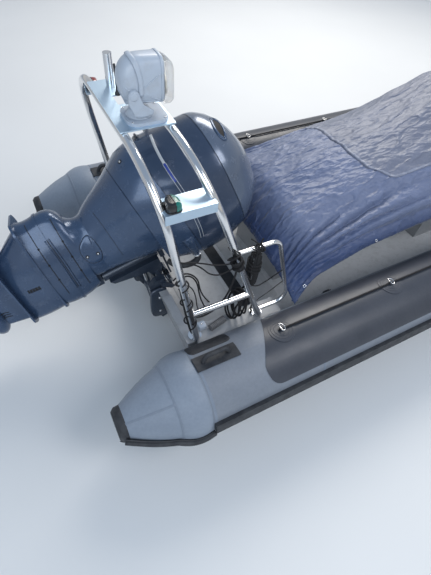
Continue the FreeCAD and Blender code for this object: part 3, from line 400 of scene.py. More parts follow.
def rounded(x0, x1, y0, y1, corner_x, corner_y, count):
    """A rectangle's outline with rounded corners of so many points each."""
    out = []
    for cx, cy, start in ((x1 - corner_x, y1 - corner_y, 0), (x0 + corner_x, y1 - corner_y, 90),
                          (x0 + corner_x, y0 + corner_y, 180), (x1 - corner_x, y0 + corner_y, 270)):
        for k in range(count):
            angle = math.radians(start + 90 * k / (count - 1))
            out.append((cx + corner_x * math.cos(angle), cy + corner_y * math.sin(angle)))
    return out


def skin_of(*names):
    """The surface of some nodes, to lay pieces on."""
    verts, faces = [], []
    for name in names:
        mesh = frame["nodes"][name].data
        start = len(verts)
        verts += [v.co.copy() for v in mesh.vertices]
        faces += [[start + i for i in p.vertices] for p in mesh.polygons]
    return BVHTree.FromPolygons(verts, faces)


def smooth_path(points, step, closed=False):
    """Points at even steps along a soft curve through the given ones."""
    points = [Vector(p) for p in points]
    if closed:
        ends = [points[-1]] + points + points[:2]
    else:
        ends = [points[0] * 2 - points[1]] + points + [points[-1] * 2 - points[-2]]
    out = []
    for p0, p1, p2, p3 in zip(ends, ends[1:], ends[2:], ends[3:]):
        count = max(1, int((p2 - p1).length / step))
        for i in range(count):
            t = i / count
            out.append(0.5 * ((2 * p1) + (p2 - p0) * t + (2 * p0 - 5 * p1 + 4 * p2 - p3) * t * t
                              + (3 * p1 - p0 - 3 * p2 + p3) * t ** 3))
    if not closed:
        out.append(points[-1])
    return out


def laid(skin, points):
    """The nearest places on a skin, each with its normal."""
    spots = [skin.find_nearest(Vector(p)) for p in points]
    return [(place, normal) for place, normal, _, _ in spots]


def ribbon(name, placed, width, height, look, body, shift=0.0, closed=False):
    """A low strip, rounded across, along placed points."""
    profile = [(-0.5, -0.0008), (-0.44, 0.7 * height), (-0.25, height), (0.25, height),
               (0.44, 0.7 * height), (0.5, -0.0008)]
    verts, faces = [], []
    count, n = len(placed), len(profile)
    for i, (place, normal) in enumerate(placed):
        after = placed[(i + 1) % count] if closed else placed[min(i + 1, count - 1)]
        before = placed[i - 1] if closed else placed[max(i - 1, 0)]
        side = normal.cross(after[0] - before[0]).normalized()
        verts += [place + side * (x * width + shift) + normal * z for x, z in profile]
    for i in range(count if closed else count - 1):
        k = (i + 1) % count
        faces += [(i * n + j, i * n + j + 1, k * n + j + 1, k * n + j) for j in range(n - 1)]
        faces.append((i * n + n - 1, i * n, k * n, k * n + n - 1))
    if not closed:
        faces += [tuple(range(n))[::-1], tuple((count - 1) * n + j for j in range(n))]
    return add_mesh(name, verts, faces, look, body)


def pad(name, skin, outline, height, look, body, rings=5, round_edge=0.02):
    """A thin plate laid on a skin: its outline drawn in to the middle ring by ring."""
    middle = sum((Vector(p) for p in outline), Vector()) / len(outline)
    count = len(outline)
    shares = [1.0, 1.0 - 0.4 * round_edge,
              1.0 - round_edge] + [1.0 - (i + 1) / rings for i in range(rings - 1)]
    heights = [-0.001, 0.75 * height] + [height] * rings
    verts, faces = [], []
    for share, lift in zip(shares, heights):
        verts += [p + n * lift for p, n in laid(skin, [middle.lerp(Vector(p), share) for p in outline])]
    place, normal = laid(skin, [middle])[0]
    verts.append(place + normal * height)
    for r in range(len(shares) - 1):
        for i in range(count):
            k = (i + 1) % count
            faces.append((r * count + i, r * count + k, (r + 1) * count + k, (r + 1) * count + i))
    last = (len(shares) - 1) * count
    faces += [(last + i, last + (i + 1) % count, len(verts) - 1) for i in range(count)]
    return add_mesh(name, verts, faces, look, body)


def tube_mesh(name, points, radius, look, body, sides=10, rib=0.0, rib_pitch=0.01, closed=False):
    """A round tube along points, ribbed if asked. Radius is a number, or one for each point."""
    points = [Vector(p) for p in points]
    count = len(points)
    verts = []
    up = Vector((0.1, 0.2, 1)).normalized()
    run = 0.0
    for i, p in enumerate(points):
        after = points[(i + 1) % count] if closed else points[min(i + 1, count - 1)]
        before = points[i - 1] if closed else points[max(i - 1, 0)]
        ahead = (after - before).normalized()
        side = ahead.cross(up).normalized()
        up = side.cross(ahead)
        run += (p - points[max(i - 1, 0)]).length
        r = radius[i] if isinstance(radius, (list, tuple)) else radius
        r *= 1 + rib * math.sin(2 * math.pi * run / rib_pitch)
        verts += [p + side * (r * math.cos(t)) + up * (r * math.sin(t)) for t in full_turn(sides)]
    return add_mesh(name, verts, ring_faces(count, sides, closed), look, body)


def spun(name, rings, origin, axis, look, body, sides=32):
    """A turned piece: rings of (distance along the axis, radius)."""
    axis = Vector(axis).normalized()
    across = axis.orthogonal().normalized()
    over = axis.cross(across)
    verts = []
    for along, r in rings:
        verts += [Vector(origin) + axis * along + across * (r * math.cos(t)) + over * (r * math.sin(t))
                  for t in full_turn(sides)]
    return add_mesh(name, verts, ring_faces(len(rings), sides), look, body)


def screw(name, spot, radius, look, body):
    """A pan head with a cross recess cut as a dark dimple."""
    place, normal = spot
    head = [(-0.001, radius), (0.4 * radius, radius), (0.62 * radius, 0.85 * radius),
            (0.75 * radius, 0.5 * radius),
            (0.45 * radius, 0.36 * radius)]
    return spun(name, head, place, normal, look, body, 14)


# A curve's box reaches out by its points' radius, so that stays small and the bevel makes up for it.
cord_point_radius = 0.01


def cord_curve(name, points, diameter, look, body, **facts):
    """A free cord: a smooth spline with the given points as its control points."""
    curve = bpy.data.curves.new(name, "CURVE")
    curve.dimensions = "3D"
    curve.bevel_depth = diameter / 2 / cord_point_radius
    curve.bevel_resolution = 4
    curve.resolution_u = 10
    line = curve.splines.new("NURBS")
    line.points.add(len(points) - 1)
    for at, p in zip(line.points, points):
        at.co = (*p, 1)
        at.radius = cord_point_radius
    line.order_u = 3
    line.use_endpoint_u = True
    curve.materials.append(materials[look])
    made = bpy.data.objects.new(name, curve)
    bpy.context.scene.collection.objects.link(made)
    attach(made, body)
    length = curve_length(made)
    return made


def curve_length(made):
    """Length of a curve's own line, without its thickness."""
    depth = made.data.bevel_depth
    made.data.bevel_depth = 0
    mesh = bpy.data.meshes.new_from_object(made)
    made.data.bevel_depth = depth
    places = [v.co.copy() for v in mesh.vertices]
    bpy.data.meshes.remove(mesh)
    return sum((b - a).length for a, b in zip(places, places[1:]))


def both_sides(make, *args):
    """Makes a piece on starboard and its mirror on port."""
    for side, name in side_names.items():
        make(side, name, *args)


# Cover. Each row is a section of the draped cloth, in metres: x, ridge z,
# shoulder half width and z, hem half width and z.
cover_sections = [
    (-1.897, 0.622, 0.430, 0.610, 0.748, 0.502),
    (-1.815, 0.755, 0.405, 0.725, 0.705, 0.548),
    (-1.700, 0.890, 0.435, 0.838, 0.665, 0.594),
    (-1.250, 1.010, 0.455, 0.928, 0.620, 0.646),
    (-0.900, 1.068, 0.490, 0.982, 0.608, 0.660),
    (-0.500, 1.130, 0.510, 1.052, 0.605, 0.680),
    (0.000, 1.338, 0.545, 1.190, 0.624, 0.660),
    (0.330, 1.338, 0.545, 1.198, 0.624, 0.622),
    (0.648, 1.008, 0.486, 0.828, 0.606, 0.524),
]
cover_along = 150
cover_across = 161
cover_thickness = 0.0012
cover_aft_x = cover_sections[0][0]
cloth_clearance = 0.004
settle_frames = 14
panel_rows = 84
panel_lift = 0.0028
centre_seam_shift = 3
hem_width = 0.032
slack_hold = 0.5
cloth_growth = -0.010
eyelet_x = (-1.80, -1.16, -0.62, 0.02, 0.56)

# Aft edge of the paler panel that lies over the forward half: y and x. Its starboard edge
# runs forward from the last point, inside the shoulder.
panel_edge = [(-0.70, -0.60), (-0.445, -0.68), (-0.412, -0.80), (-0.369, -0.95), (-0.246, -1.08),
              (-0.074, -1.122), (0.164, -1.11), (0.40, -1.07), (0.70, -1.00)]
panel_side_y = -0.445
crown_y = ((-1.90, 0.20), (-1.70, 0.30), (-0.60, 0.30), (-0.30, 0.40))


def eased(values, rounds):
    """Softens a row of points, its ends kept."""
    for _ in range(rounds):
        values[1:-1] = 0.25 * values[:-2] + 0.5 * values[1:-1] + 0.25 * values[2:]
    return values


def cover_grid():
    """The cloth from port hem to starboard hem, rounded over the crown and out to low shoulders."""
    rows = np.array(cover_sections)
    grid = np.zeros((cover_along, cover_across, 3))
    for i, x in enumerate(np.linspace(rows[0, 0], rows[-1, 0], cover_along)):
        ridge, shoulder_y, shoulder_z, hem_y, hem_z = [np.interp(x, rows[:, 0], rows[:, c])
                                                       for c in range(1, 6)]
        crown = np.interp(x, *np.array(crown_y).T)
        crown_z = ridge - (ridge - shoulder_z) * crown / shoulder_y
        drop = np.array([hem_y - shoulder_y, hem_z - shoulder_z])
        out = np.array([-drop[1], drop[0]]) / np.linalg.norm(drop)
        low_y, low_z = np.array([shoulder_y,
                                 shoulder_z]) + 0.42 * drop + 0.035 * out * min(1.0, (x - rows[0, 0]) / 0.2)
        half = [(hem_y, hem_z), (low_y, low_z), (crown, crown_z)]
        corners = np.array([(x, y, z) for y, z in half] + [(x, 0, ridge)]
                           + [(x, -y, z) for y, z in half[::-1]])
        runs = np.concatenate([[0], np.cumsum(np.linalg.norm(np.diff(corners, axis=0), axis=1))])
        at = np.linspace(0, runs[-1], cover_across)
        grid[i] = eased(np.stack([np.interp(at, runs, corners[:, c]) for c in range(3)], 1), 12)
    for j in range(cover_across):
        grid[:, j] = eased(grid[:, j], 8)
    return grid


def outward(grid):
    normals = np.cross(np.gradient(grid, axis=0), np.gradient(grid, axis=1))
    normals /= np.linalg.norm(normals, axis=2, keepdims=True)
    return -normals if normals[len(grid) // 2, grid.shape[1] // 2, 2] < 0 else normals


def pleats(run, share, port):
    """Folds that leave the tie at the aft corner and fade forward along a skirt.

    run is the distance from the aft edge, share the height in the skirt from hem to shoulder."""
    wander = 0.30 * noise.noise(Vector((1.6 * run, 2.0 * share, 4.4 + 3 * port)))
    spread = 1 / (0.3 + 0.7 * min(run / 0.9, 1.0))
    phase = 2.3 * (share - 0.35) * spread + 0.15 + wander
    valley = (1 - abs(math.sin(math.pi * phase))) ** 1.3
    reach = min(1.0, math.sqrt(run / 0.35)) * (0.35 + 0.65 * math.exp(-max(0.0, run - 0.8) / 0.35))
    return valley * reach * min(1.0, 6 * share)


def cover_folds(grid):
    """Pulls and slack in the cloth, deepest in the skirts and at the aft corners."""
    normals = outward(grid)
    moved = grid.copy()
    for i in range(cover_along):
        for j in range(cover_across):
            x, y, _ = grid[i, j]
            edge = min(j, cover_across - 1 - j) / (0.5 * cover_across)
            share = edge / 0.36
            slow = noise.noise(Vector((x * 1.5 + 0.5 * y, y * 2.0, 3.1)))
            drawn = noise.noise(Vector((x * 2.6 + y * 1.5, y * 9.0 - x * 3.5, 7.7)))
            crease = abs(noise.noise(Vector((x * 3.4 - y * 2.0, y * 13.0 + x * 4.0, 1.3))))
            fine = abs(noise.noise(Vector((x * 9.0 + y * 6.0, y * 22.0 + x * 8.0, 6.1))))
            depth = 0.008 * slow + 0.007 * drawn - 0.012 * crease - 0.003 * fine
            if share < 1.25:
                depth -= 0.055 * pleats(x - cover_aft_x, share, y > 0) * min(1.0, 4 * (1.25 - share))
            keep = min(1.0, 0.15 + 3.2 * edge)
            moved[i, j] += normals[i, j] * depth * keep
    return moved


def grid_faces(rows, columns):
    return [(i * columns + j, i * columns + j + 1, (i + 1) * columns + j + 1, (i + 1) * columns + j)
            for i in range(rows - 1) for j in range(columns - 1)]


def cover_ties(grid):
    """The pinned points: every tenth across both ends, and the eyelets along the hems."""
    pins = set()
    for x in eyelet_x:
        i = int(np.argmin(np.abs(grid[:, 0, 0] - x)))
        pins |= {i * cover_across, (i + 1) * cover_across - 1}
    for i in (0, cover_along - 1):
        pins |= {i * cover_across + j for j in range(0, cover_across, 10)}
    return sorted(pins)


def settled(cloth_piece, pins, frames=settle_frames):
    """Lets the cloth hang from its ties over the seats and console, and keeps the result."""
    supports = []
    for name in ("seat_pod", "console"):
        form = bpy.data.objects.new(name + "_form", frame["nodes"][name].data.copy())
        bpy.context.scene.collection.objects.link(form)
        form.modifiers.new("stop", "COLLISION")
        form.collision.thickness_outer = cloth_clearance
        supports.append(form)
    group = cloth_piece.vertex_groups.new(name="ties")
    group.add(range(len(cloth_piece.data.vertices)), slack_hold, "REPLACE")
    group.add(pins, 1.0, "REPLACE")
    drape = cloth_piece.modifiers.new("drape", "CLOTH")
    drape.settings.quality = 6
    drape.settings.mass = 0.2
    drape.settings.tension_stiffness = 40
    drape.settings.compression_stiffness = 35
    drape.settings.shear_stiffness = 20
    drape.settings.bending_stiffness = 0.8
    drape.settings.shrink_min = cloth_growth
    drape.settings.effector_weights.gravity = 0.05
    drape.settings.vertex_group_mass = "ties"
    drape.collision_settings.distance_min = cloth_clearance
    drape.point_cache.frame_start = 1
    drape.point_cache.frame_end = frames
    scene = bpy.context.scene
    for step in range(1, frames + 1):
        scene.frame_set(step)
    shown = cloth_piece.evaluated_get(bpy.context.evaluated_depsgraph_get())
    places = np.array([v.co for v in shown.data.vertices])
    cloth_piece.modifiers.remove(drape)
    cloth_piece.vertex_groups.remove(group)
    scene.frame_set(1)
    for form in supports:
        mesh = form.data
        bpy.data.objects.remove(form)
        bpy.data.meshes.remove(mesh)
    return places


def forward_panel(grid):
    """The part of the cover's grid forward of the panel's edge, resampled and lifted onto the cover."""
    lifted = grid + outward(grid) * panel_lift
    columns = [j for j in range(cover_across) if lifted[-10, j, 1] > panel_side_y]
    out = np.zeros((panel_rows, len(columns), 3))
    edge_y, edge_x = np.array(panel_edge).T
    for k, j in enumerate(columns):
        column = lifted[:, j]
        past = np.maximum.accumulate(column[:, 0] - np.interp(column[:, 1], edge_y, edge_x))
        start = np.interp(0, past, np.arange(cover_along))
        at = np.linspace(start, cover_along - 1, panel_rows)
        for c in range(3):
            out[:, k, c] = np.interp(at, np.arange(cover_along), column[:, c])
    return out


def strip_along(name, points, normals, width, height, look):
    placed = [(Vector(p), Vector(n)) for p, n in zip(points, normals)]
    return ribbon(name, placed, width, height, look, "boat")


def make_eyelet(name, place, normal):
    rings = [(-0.002, 0.011), (0.0025, 0.011), (0.0035, 0.0085), (0.0015, 0.006), (-0.001, 0.0055)]
    return spun(name, rings, place, normal, "stainless", "boat", 20)


def dressed(piece):
    """Cloth thickness."""
    thick = piece.modifiers.new("thickness", "SOLIDIFY")
    thick.thickness = cover_thickness
    thick.offset = -1


def make_cover():
    """The cover and the paler panel on it, with hems, eyelets and the seam along the middle."""
    grid = cover_folds(cover_grid())
    main = add_mesh("cover_main", grid.reshape(-1, 3), grid_faces(cover_along, cover_across),
                    "cover_cloth", "boat")
    places = settled(main, cover_ties(grid))
    main.data.vertices.foreach_set("co", places.astype(np.float32).ravel())
    main.data.update()
    grid = places.reshape(grid.shape)
    normals = outward(grid)
    for side, j, inner in (("port", 0, 2), ("starboard", cover_across - 1, cover_across - 3)):
        strip_along("cover_hem_" + side, grid[:, inner], normals[:, inner], hem_width, 0.0022,
                                "cover_seam")
        for k, x in enumerate(eyelet_x):
            i = int(np.argmin(np.abs(grid[:, j, 0] - x)))
            spot = Vector(grid[i, inner]) + Vector(normals[i, inner]) * 0.002
            make_eyelet("cover_eyelet_%s_%d" % (side, k), spot, Vector(normals[i, inner]))
    strip_along("cover_hem_aft", grid[1], normals[1], hem_width, 0.0022, "cover_seam")
    middle = cover_across // 2 + centre_seam_shift
    for side in (1, -1):
        j = int(np.argmin(np.abs(grid[2, :, 1] - side * 0.50)))
        spot = Vector(grid[2, j]) + Vector(normals[2, j]) * 0.002
        make_eyelet("cover_eyelet_aft_%d" % (side > 0), spot, Vector(normals[2, j]))
    strip_along("cover_centre_seam", grid[2:-2, middle], normals[2:-2, middle], 0.007, 0.0012,
                            "cover_seam")
    panel = forward_panel(grid)
    upper = add_mesh("cover_forward_panel", panel.reshape(-1, 3), grid_faces(*panel.shape[:2]),
                     "cover_pale", "boat")
    panel_normals = outward(panel)
    side = panel.shape[1] - 2
    border = np.concatenate([panel[1, :side], panel[1:-1, side]])
    border_normals = np.concatenate([panel_normals[1, :side], panel_normals[1:-1, side]])
    edge = strip_along("cover_panel_hem", border, border_normals, 0.018, 0.0012, "cover_edge")
    dressed(main)
    dressed(upper)
    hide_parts("cover")


# Trim of the engine. Rows of points are (a, u, s) near the surface, which they are laid on.
stripe_line = [(0.705, 0.318, 0.06), (0.666, 0.303, 0.144), (0.612, 0.299, 0.200), (0.533, 0.305, 0.252),
               (0.467, 0.316, 0.281), (0.398, 0.328, 0.298), (0.310, 0.334, 0.303), (0.225, 0.338, 0.303),
               (0.155, 0.341, 0.299), (0.085, 0.338, 0.283)]
intake_outline = [(0.640, 0.683, 0.095), (0.616, 0.663, 0.155), (0.580, 0.668, 0.192),
                  (0.553, 0.689, 0.194), (0.578, 0.708, 0.150), (0.612, 0.712, 0.088)]
cover_plate_outline = [(0.326, -0.326, 0.12), (0.350, -0.288, 0.108), (0.345, -0.262, 0.11),
                       (0.293, -0.245, 0.127), (0.228, -0.243, 0.129), (0.177, -0.265, 0.125),
                       (0.181, -0.325, 0.126), (0.234, -0.352, 0.128), (0.292, -0.350, 0.128)]
cover_plate_screws = [(0.225, -0.268, 0.126), (0.235, -0.332, 0.127)]
cowl_screws = [(0.650, 0.093, 0.100), (0.105, 0.360, 0.285)]
lower_line = [(0.515, -0.405, 0.062), (0.415, -0.405, 0.107), (0.300, -0.405, 0.126),
              (0.174, -0.405, 0.126), (0.060, -0.405, 0.112)]
splash_line = [(0.535, -0.545, 0.036), (0.440, -0.545, 0.100), (0.320, -0.545, 0.122),
               (0.200, -0.545, 0.125), (0.060, -0.545, 0.112)]
leg_ridge = [(0.430, -0.478, 0.104), (0.360, -0.474, 0.120), (0.228, -0.471, 0.126), (0.078, -0.474, 0.118)]
louvre_line = [(0.186, -0.742, 0.099), (0.186, -0.664, 0.116)]
apron_crease = [(0.470, -0.190, 0.125), (0.380, -0.165, 0.150), (0.260, -0.150, 0.158),
                (0.150, -0.140, 0.150)]


def on_side(points, side):
    """Engine points in world places, s turned over for port."""
    return [engine_point(a, u, -side * s) for a, u, s in points]


def make_stripe(side, name, skin):
    line = laid(skin, smooth_path(on_side(stripe_line, side), 0.008))
    split = int(0.30 * len(line))
    end = int(0.47 * len(line))
    flip = 1 if side < 0 else -1
    ribbon("stripe_head_" + name, line[:split], 0.017, 0.0009, "stripe_silver", "engine")
    ribbon("stripe_blue_" + name, line[split - 1:end], 0.013, 0.0009, "stripe_blue", "engine")
    ribbon("stripe_upper_" + name, line[split - 1:], 0.0035, 0.0012, "stripe_silver", "engine",
           0.009 * flip)
    ribbon("stripe_lower_" + name, line[split - 1:], 0.0035, 0.0012, "stripe_silver", "engine",
           -0.009 * flip)


def make_intake(side, name, skin):
    outline = smooth_path(on_side(intake_outline, side), 0.006, closed=True)
    # The slot is a black pad: painted shade in the intake's opening.
    pad("intake_slot_" + name, skin, outline, 0.0006, "void_black", "engine")
    rim = laid(skin, outline)
    tube_mesh("intake_rim_" + name, [p + n * 0.001 for p, n in rim], 0.0035, "engine_blue", "engine", 8,
              closed=True)
    middle = sum(outline, Vector()) / len(outline)
    upper = [middle.lerp(p, 1.22) for p in outline]
    brow = laid(skin, upper)
    ribbon("intake_brow_" + name, brow, 0.018, 0.006, "engine_blue", "engine", closed=True)


def make_cover_plate(side, name, skin):
    outline = smooth_path(on_side(cover_plate_outline, side), 0.006, closed=True)
    pad("side_plate_" + name, skin, outline, 0.004, "engine_blue", "engine", round_edge=0.06)
    # A black line round the plate: painted shade in the gap.
    ribbon("side_plate_gap_" + name, laid(skin, outline), 0.004, 0.0008, "void_black", "engine",
           closed=True)
    for k, spot in enumerate(laid(skin, on_side(cover_plate_screws, side))):
        raised = (spot[0] + spot[1] * 0.004, spot[1])
        # A black disc round each screw: painted shade in its recess.
        spun("side_plate_cup_%s_%d" % (name, k),
             [(-0.001, 0.011), (0.0012, 0.011), (0.0014, 0.0085), (0.0004, 0.008)],
             raised[0], raised[1], "void_black", "engine", 20)
        screw("side_plate_screw_%s_%d" % (name, k), raised, 0.006, "stainless", "engine")


def make_louvre(side, name, skin):
    line = laid(skin, smooth_path(on_side(louvre_line, side), 0.004))
    # The slot is black: painted shade in the louvre's opening.
    ribbon("louvre_slot_" + name, line, 0.026, 0.0008, "void_black", "engine")
    for k in range(4):
        rung = line[int((k + 0.7) * len(line) / 4.6)]
        along = (line[-1][0] - line[0][0]).normalized()
        across = rung[1].cross(along) * 0.011
        tube_mesh("louvre_bar_%s_%d" % (name, k), [rung[0] - across, rung[0] + across], 0.0018,
                  "engine_blue", "engine", 8)


def make_engine_lines(side, name, skin):
    # The lower and splash lines are black as painted shadow under the casing's parting steps, and the crease is
    # painted shade along the apron's lower edge; the dots on the first two are the same black.
    for label, row in (("lower", lower_line), ("splash", splash_line), ("crease", apron_crease)):
        line = laid(skin, smooth_path(on_side(row, side), 0.010))
        ribbon("engine_%s_line_%s" % (label, name), line, 0.0055 if label != "crease" else 0.003, 0.0007,
               "void_black", "engine")
        for k, share in enumerate((0.30, 0.52, 0.74) if label != "crease" else ()):
            spot = line[int(share * len(line))]
            spun("%s_clip_%s_%d" % (label, name, k), [(-0.001, 0.0065), (0.003, 0.0060), (0.004, 0.0045)],
                 spot[0], spot[1],
                 "void_black", "engine", 12)
    ridge = laid(skin, smooth_path(on_side(leg_ridge, side), 0.010))
    for k, shift in enumerate((-0.0115, 0.0115)):
        ribbon("leg_ridge_%s_%d" % (name, k), ridge, 0.009, 0.0085, "engine_blue", "engine", shift)
    # A black strip in the groove between the ridges: painted shade.
    ribbon("leg_ridge_groove_" + name, ridge, 0.0045, 0.0007, "void_black", "engine")
    for k, spot in enumerate(laid(skin, on_side(cowl_screws[:1], side))):
        # A black disc round the screw: painted shade in its recess.
        spun("cowl_cup_%s_%d" % (name, k),
             [(-0.001, 0.012), (0.0015, 0.012), (0.0018, 0.009), (0.0005, 0.0085)],
             spot[0], spot[1], "void_black", "engine", 20)
        screw("cowl_screw_%s_%d" % (name, k), spot, 0.0065, "stainless", "engine")


def make_latch(skin):
    """The cowl's latch at its aft face."""
    place, normal = laid(skin, [engine_point(0.71, 0.245, 0.0)])[0]
    up = (engine_up - normal * engine_up.dot(normal)).normalized()
    across = normal.cross(up)
    outline = []
    for angle in full_turn(28):
        reach = 1 / max(abs(math.cos(angle)) ** 4 + abs(math.sin(angle)) ** 4, 1e-6) ** 0.25
        outline.append(place + across * (0.045 * reach * math.cos(angle))
                       + up * (0.020 * reach * math.sin(angle)))
    pad("latch_plate", skin, outline, 0.006, "engine_dark", "engine", round_edge=0.12)
    lever = [place + across * x + normal * (0.008 + 0.010 * (1 - (x / 0.036) ** 2))
             for x in np.linspace(-0.036, 0.036, 15)]
    tube_mesh("latch_lever", lever, 0.006, "engine_dark", "engine")


# Rigging tube: a tapered boot out of the lower cowl, a bright clamp ring, and
# the ribbed conduit that turns down to the steering bracket.
boot_line = [(0.125, 0.250, 0.262), (0.095, 0.256, 0.262), (0.055, 0.262, 0.250), (0.000, 0.272, 0.224),
             (-0.050, 0.280, 0.196)]
conduit_line = [(-0.050, 0.280, 0.196), (-0.095, 0.284, 0.172), (-0.132, 0.262, 0.150),
                (-0.146, 0.215, 0.130), (-0.140, 0.165, 0.108), (-0.120, 0.125, 0.080),
                (-0.092, 0.100, 0.050)]


def make_rigging():
    boot = smooth_path([engine_point(*p) for p in boot_line], 0.006)
    radii = [0.040 - 0.016 * i / (len(boot) - 1) for i in range(len(boot))]
    tube_mesh("rigging_boot", boot, radii, "engine_blue", "engine", 24)
    end = boot[-1]
    ahead = (boot[-1] - boot[-3]).normalized()
    spun("rigging_clamp", [(-0.007, 0.0245), (-0.007, 0.0285), (0.007, 0.0285), (0.007, 0.0245)], end,
         ahead,
         "stainless", "engine", 32)
    conduit = smooth_path([engine_point(*p) for p in conduit_line], 0.002)
    tube_mesh("rigging_conduit", conduit, 0.0195, "rubber_black", "engine", 16, 0.07, 0.009)


def make_engine_trim():
    cowl = skin_of("cowl")
    dome = skin_of("cowl_top")
    lower = skin_of("cowl_lower", "apron", "cowl")
    middle = skin_of("midsection", "apron")
    leg = skin_of("gearcase")
    both_sides(make_stripe, cowl)
    both_sides(make_intake, dome)
    both_sides(make_cover_plate, middle)
    both_sides(make_louvre, leg)
    both_sides(make_engine_lines, skin_of("midsection", "apron", "cowl_lower"))
    make_latch(lower)
    make_rigging()
    make_pickups(leg)


def make_pickups(leg):
    """The water pick-up slots in the leg."""
    for side in (-1, 1):
        for k in range(3):
            row = [(0.060 + 0.018 * k, -0.925, 0.06), (0.070 + 0.018 * k, -0.965, 0.06)]
            line = laid(leg, smooth_path(on_side(row, side), 0.004))
            # Each slot is a black strip: painted shade in its opening.
            ribbon("pickup_slot_%s_%d" % (side_names[side], k), line, 0.006, 0.0008, "void_black", "engine")


# Searchlight trim, in metres from the tilt pivot: forward, to port and up.
pivot = point("searchlight_tilt")
cheek_outer = 0.0735
head_seams = [
    [(-0.045, -0.070, 0.030), (0.000, -0.070, 0.012), (0.060, -0.070, -0.010), (0.120, -0.070, -0.045)],
    [(-0.030, -0.070, -0.020), (0.020, -0.070, 0.000), (0.070, -0.070, 0.040), (0.118, -0.070, 0.070)],
    [(-0.020, -0.070, -0.030), (0.030, -0.070, -0.045), (0.080, -0.070, -0.055), (0.125, -0.070, -0.058)],
]


def make_head():
    """The lamp's housing: a deep rounded back that squares up towards its face."""
    low, high = (Vector(c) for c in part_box("searchlight_head"))
    centre_y = (low.y + high.y) / 2
    half_y = 0.0615
    verts = []
    rows, count = 26, 56
    for r in range(rows):
        t = r / (rows - 1)
        swell = (1 - (1 - min(1.0, t / 0.62)) ** 2.3) ** (1 / 2.3)
        x = low.x + 0.002 + (high.x - low.x - 0.002) * (t ** 1.45)
        share = (x - low.x) / (high.x - low.x)
        power = 2.2 + 1.6 * share
        girth = max(0.02, swell)
        top = low.z + (high.z - low.z) * (0.62 + 0.38 * min(1.0, swell + 0.02)
                                          - 0.05 * max(0.0, share - 0.5))
        bottom = low.z + (high.z - low.z) * (0.42 - 0.40 * swell)
        for angle in full_turn(count):
            c, d = math.cos(angle), math.sin(angle)
            y = half_y * girth * math.copysign(abs(c) ** (2 / power), c)
            z = (top + bottom) / 2 + (top - bottom) / 2 * girth * math.copysign(abs(d) ** (2 / power), d)
            verts.append(Vector((x, centre_y + y, z)))
    housing = add_mesh("housing", verts, ring_faces(rows, count), "white_plastic", "light_head")
    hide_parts("searchlight_head")
    return housing


def make_housing_ribs(skin, centre_y):
    """The rib over the housing's top and the bezel round its face."""
    low, high = (Vector(c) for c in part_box("searchlight_head"))
    loop = []
    for k in range(41):
        angle = math.radians(-20 + 220 * k / 40)
        loop.append(Vector((low.x + 0.070 + 0.012 * math.cos(2 * angle), centre_y + 0.075 * math.cos(angle),
                            pivot.z + 0.03 + 0.115 * math.sin(angle))))
    ribbon("housing_rib", laid(skin, loop), 0.022, 0.006, "white_plastic", "light_head")
    rim = []
    for angle in full_turn(64):
        rim.append(Vector((high.x - 0.008, centre_y + 0.07 * math.cos(angle),
                           (low.z + high.z) / 2 + 0.10 * math.sin(angle))))
    ribbon("housing_bezel", laid(skin, rim), 0.014, 0.003, "white_plastic", "light_head", closed=True)


def make_yoke():
    """A flared neck and two slim cheeks that carry the housing's pivots."""
    low, high = (Vector(c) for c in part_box("searchlight_yoke"))
    centre_y = (low.y + high.y) / 2
    foot = point("searchlight_pan")
    neck = [(0.0005, 0.060), (0.006, 0.060), (0.010, 0.054), (0.019, 0.048), (0.026, 0.046),
            (0.0295, 0.043), (0.0305, 0.038)]
    made = spun("neck", neck, Vector((foot.x, foot.y, low.z)), (0, 0, 1), "white_plastic", "light_yoke", 48)
    for side in (-1, 1):
        verts = []
        outline = []
        for k in range(21):
            angle = math.radians(180 - 180 * k / 20)
            outline.append((pivot.x + 0.024 * math.cos(angle), pivot.z + 0.026 * math.sin(angle)))
        outline += [(pivot.x + 0.040, pivot.z - 0.040), (foot.x + 0.046, low.z + 0.040),
                    (foot.x + 0.040, low.z + 0.022),
                    (foot.x - 0.040, low.z + 0.022), (foot.x - 0.046, low.z + 0.040),
                    (pivot.x - 0.026, pivot.z - 0.030)]
        n = len(outline)
        for inset, depth in ((0, 0.0640), (0, 0.0700), (0.003, cheek_outer)):
            mid_x = sum(x for x, _ in outline) / n
            mid_z = sum(z for _, z in outline) / n
            for x, z in outline:
                shrink = 1 - inset / 0.045
                verts.append(Vector((mid_x + (x - mid_x) * shrink, centre_y + side * depth,
                                     mid_z + (z - mid_z) * shrink)))
        add_mesh("cheek_" + side_names[side], verts, ring_faces(3, n), "white_plastic", "light_yoke",
                 smooth=False)
        root = [Vector((foot.x + x, centre_y + side * 0.064, low.z + 0.026)) for x in (0.036, -0.036)]
        tube_mesh("cheek_root_" + side_names[side], root, 0.010, "white_plastic", "light_yoke", 14)
    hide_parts("searchlight_yoke")


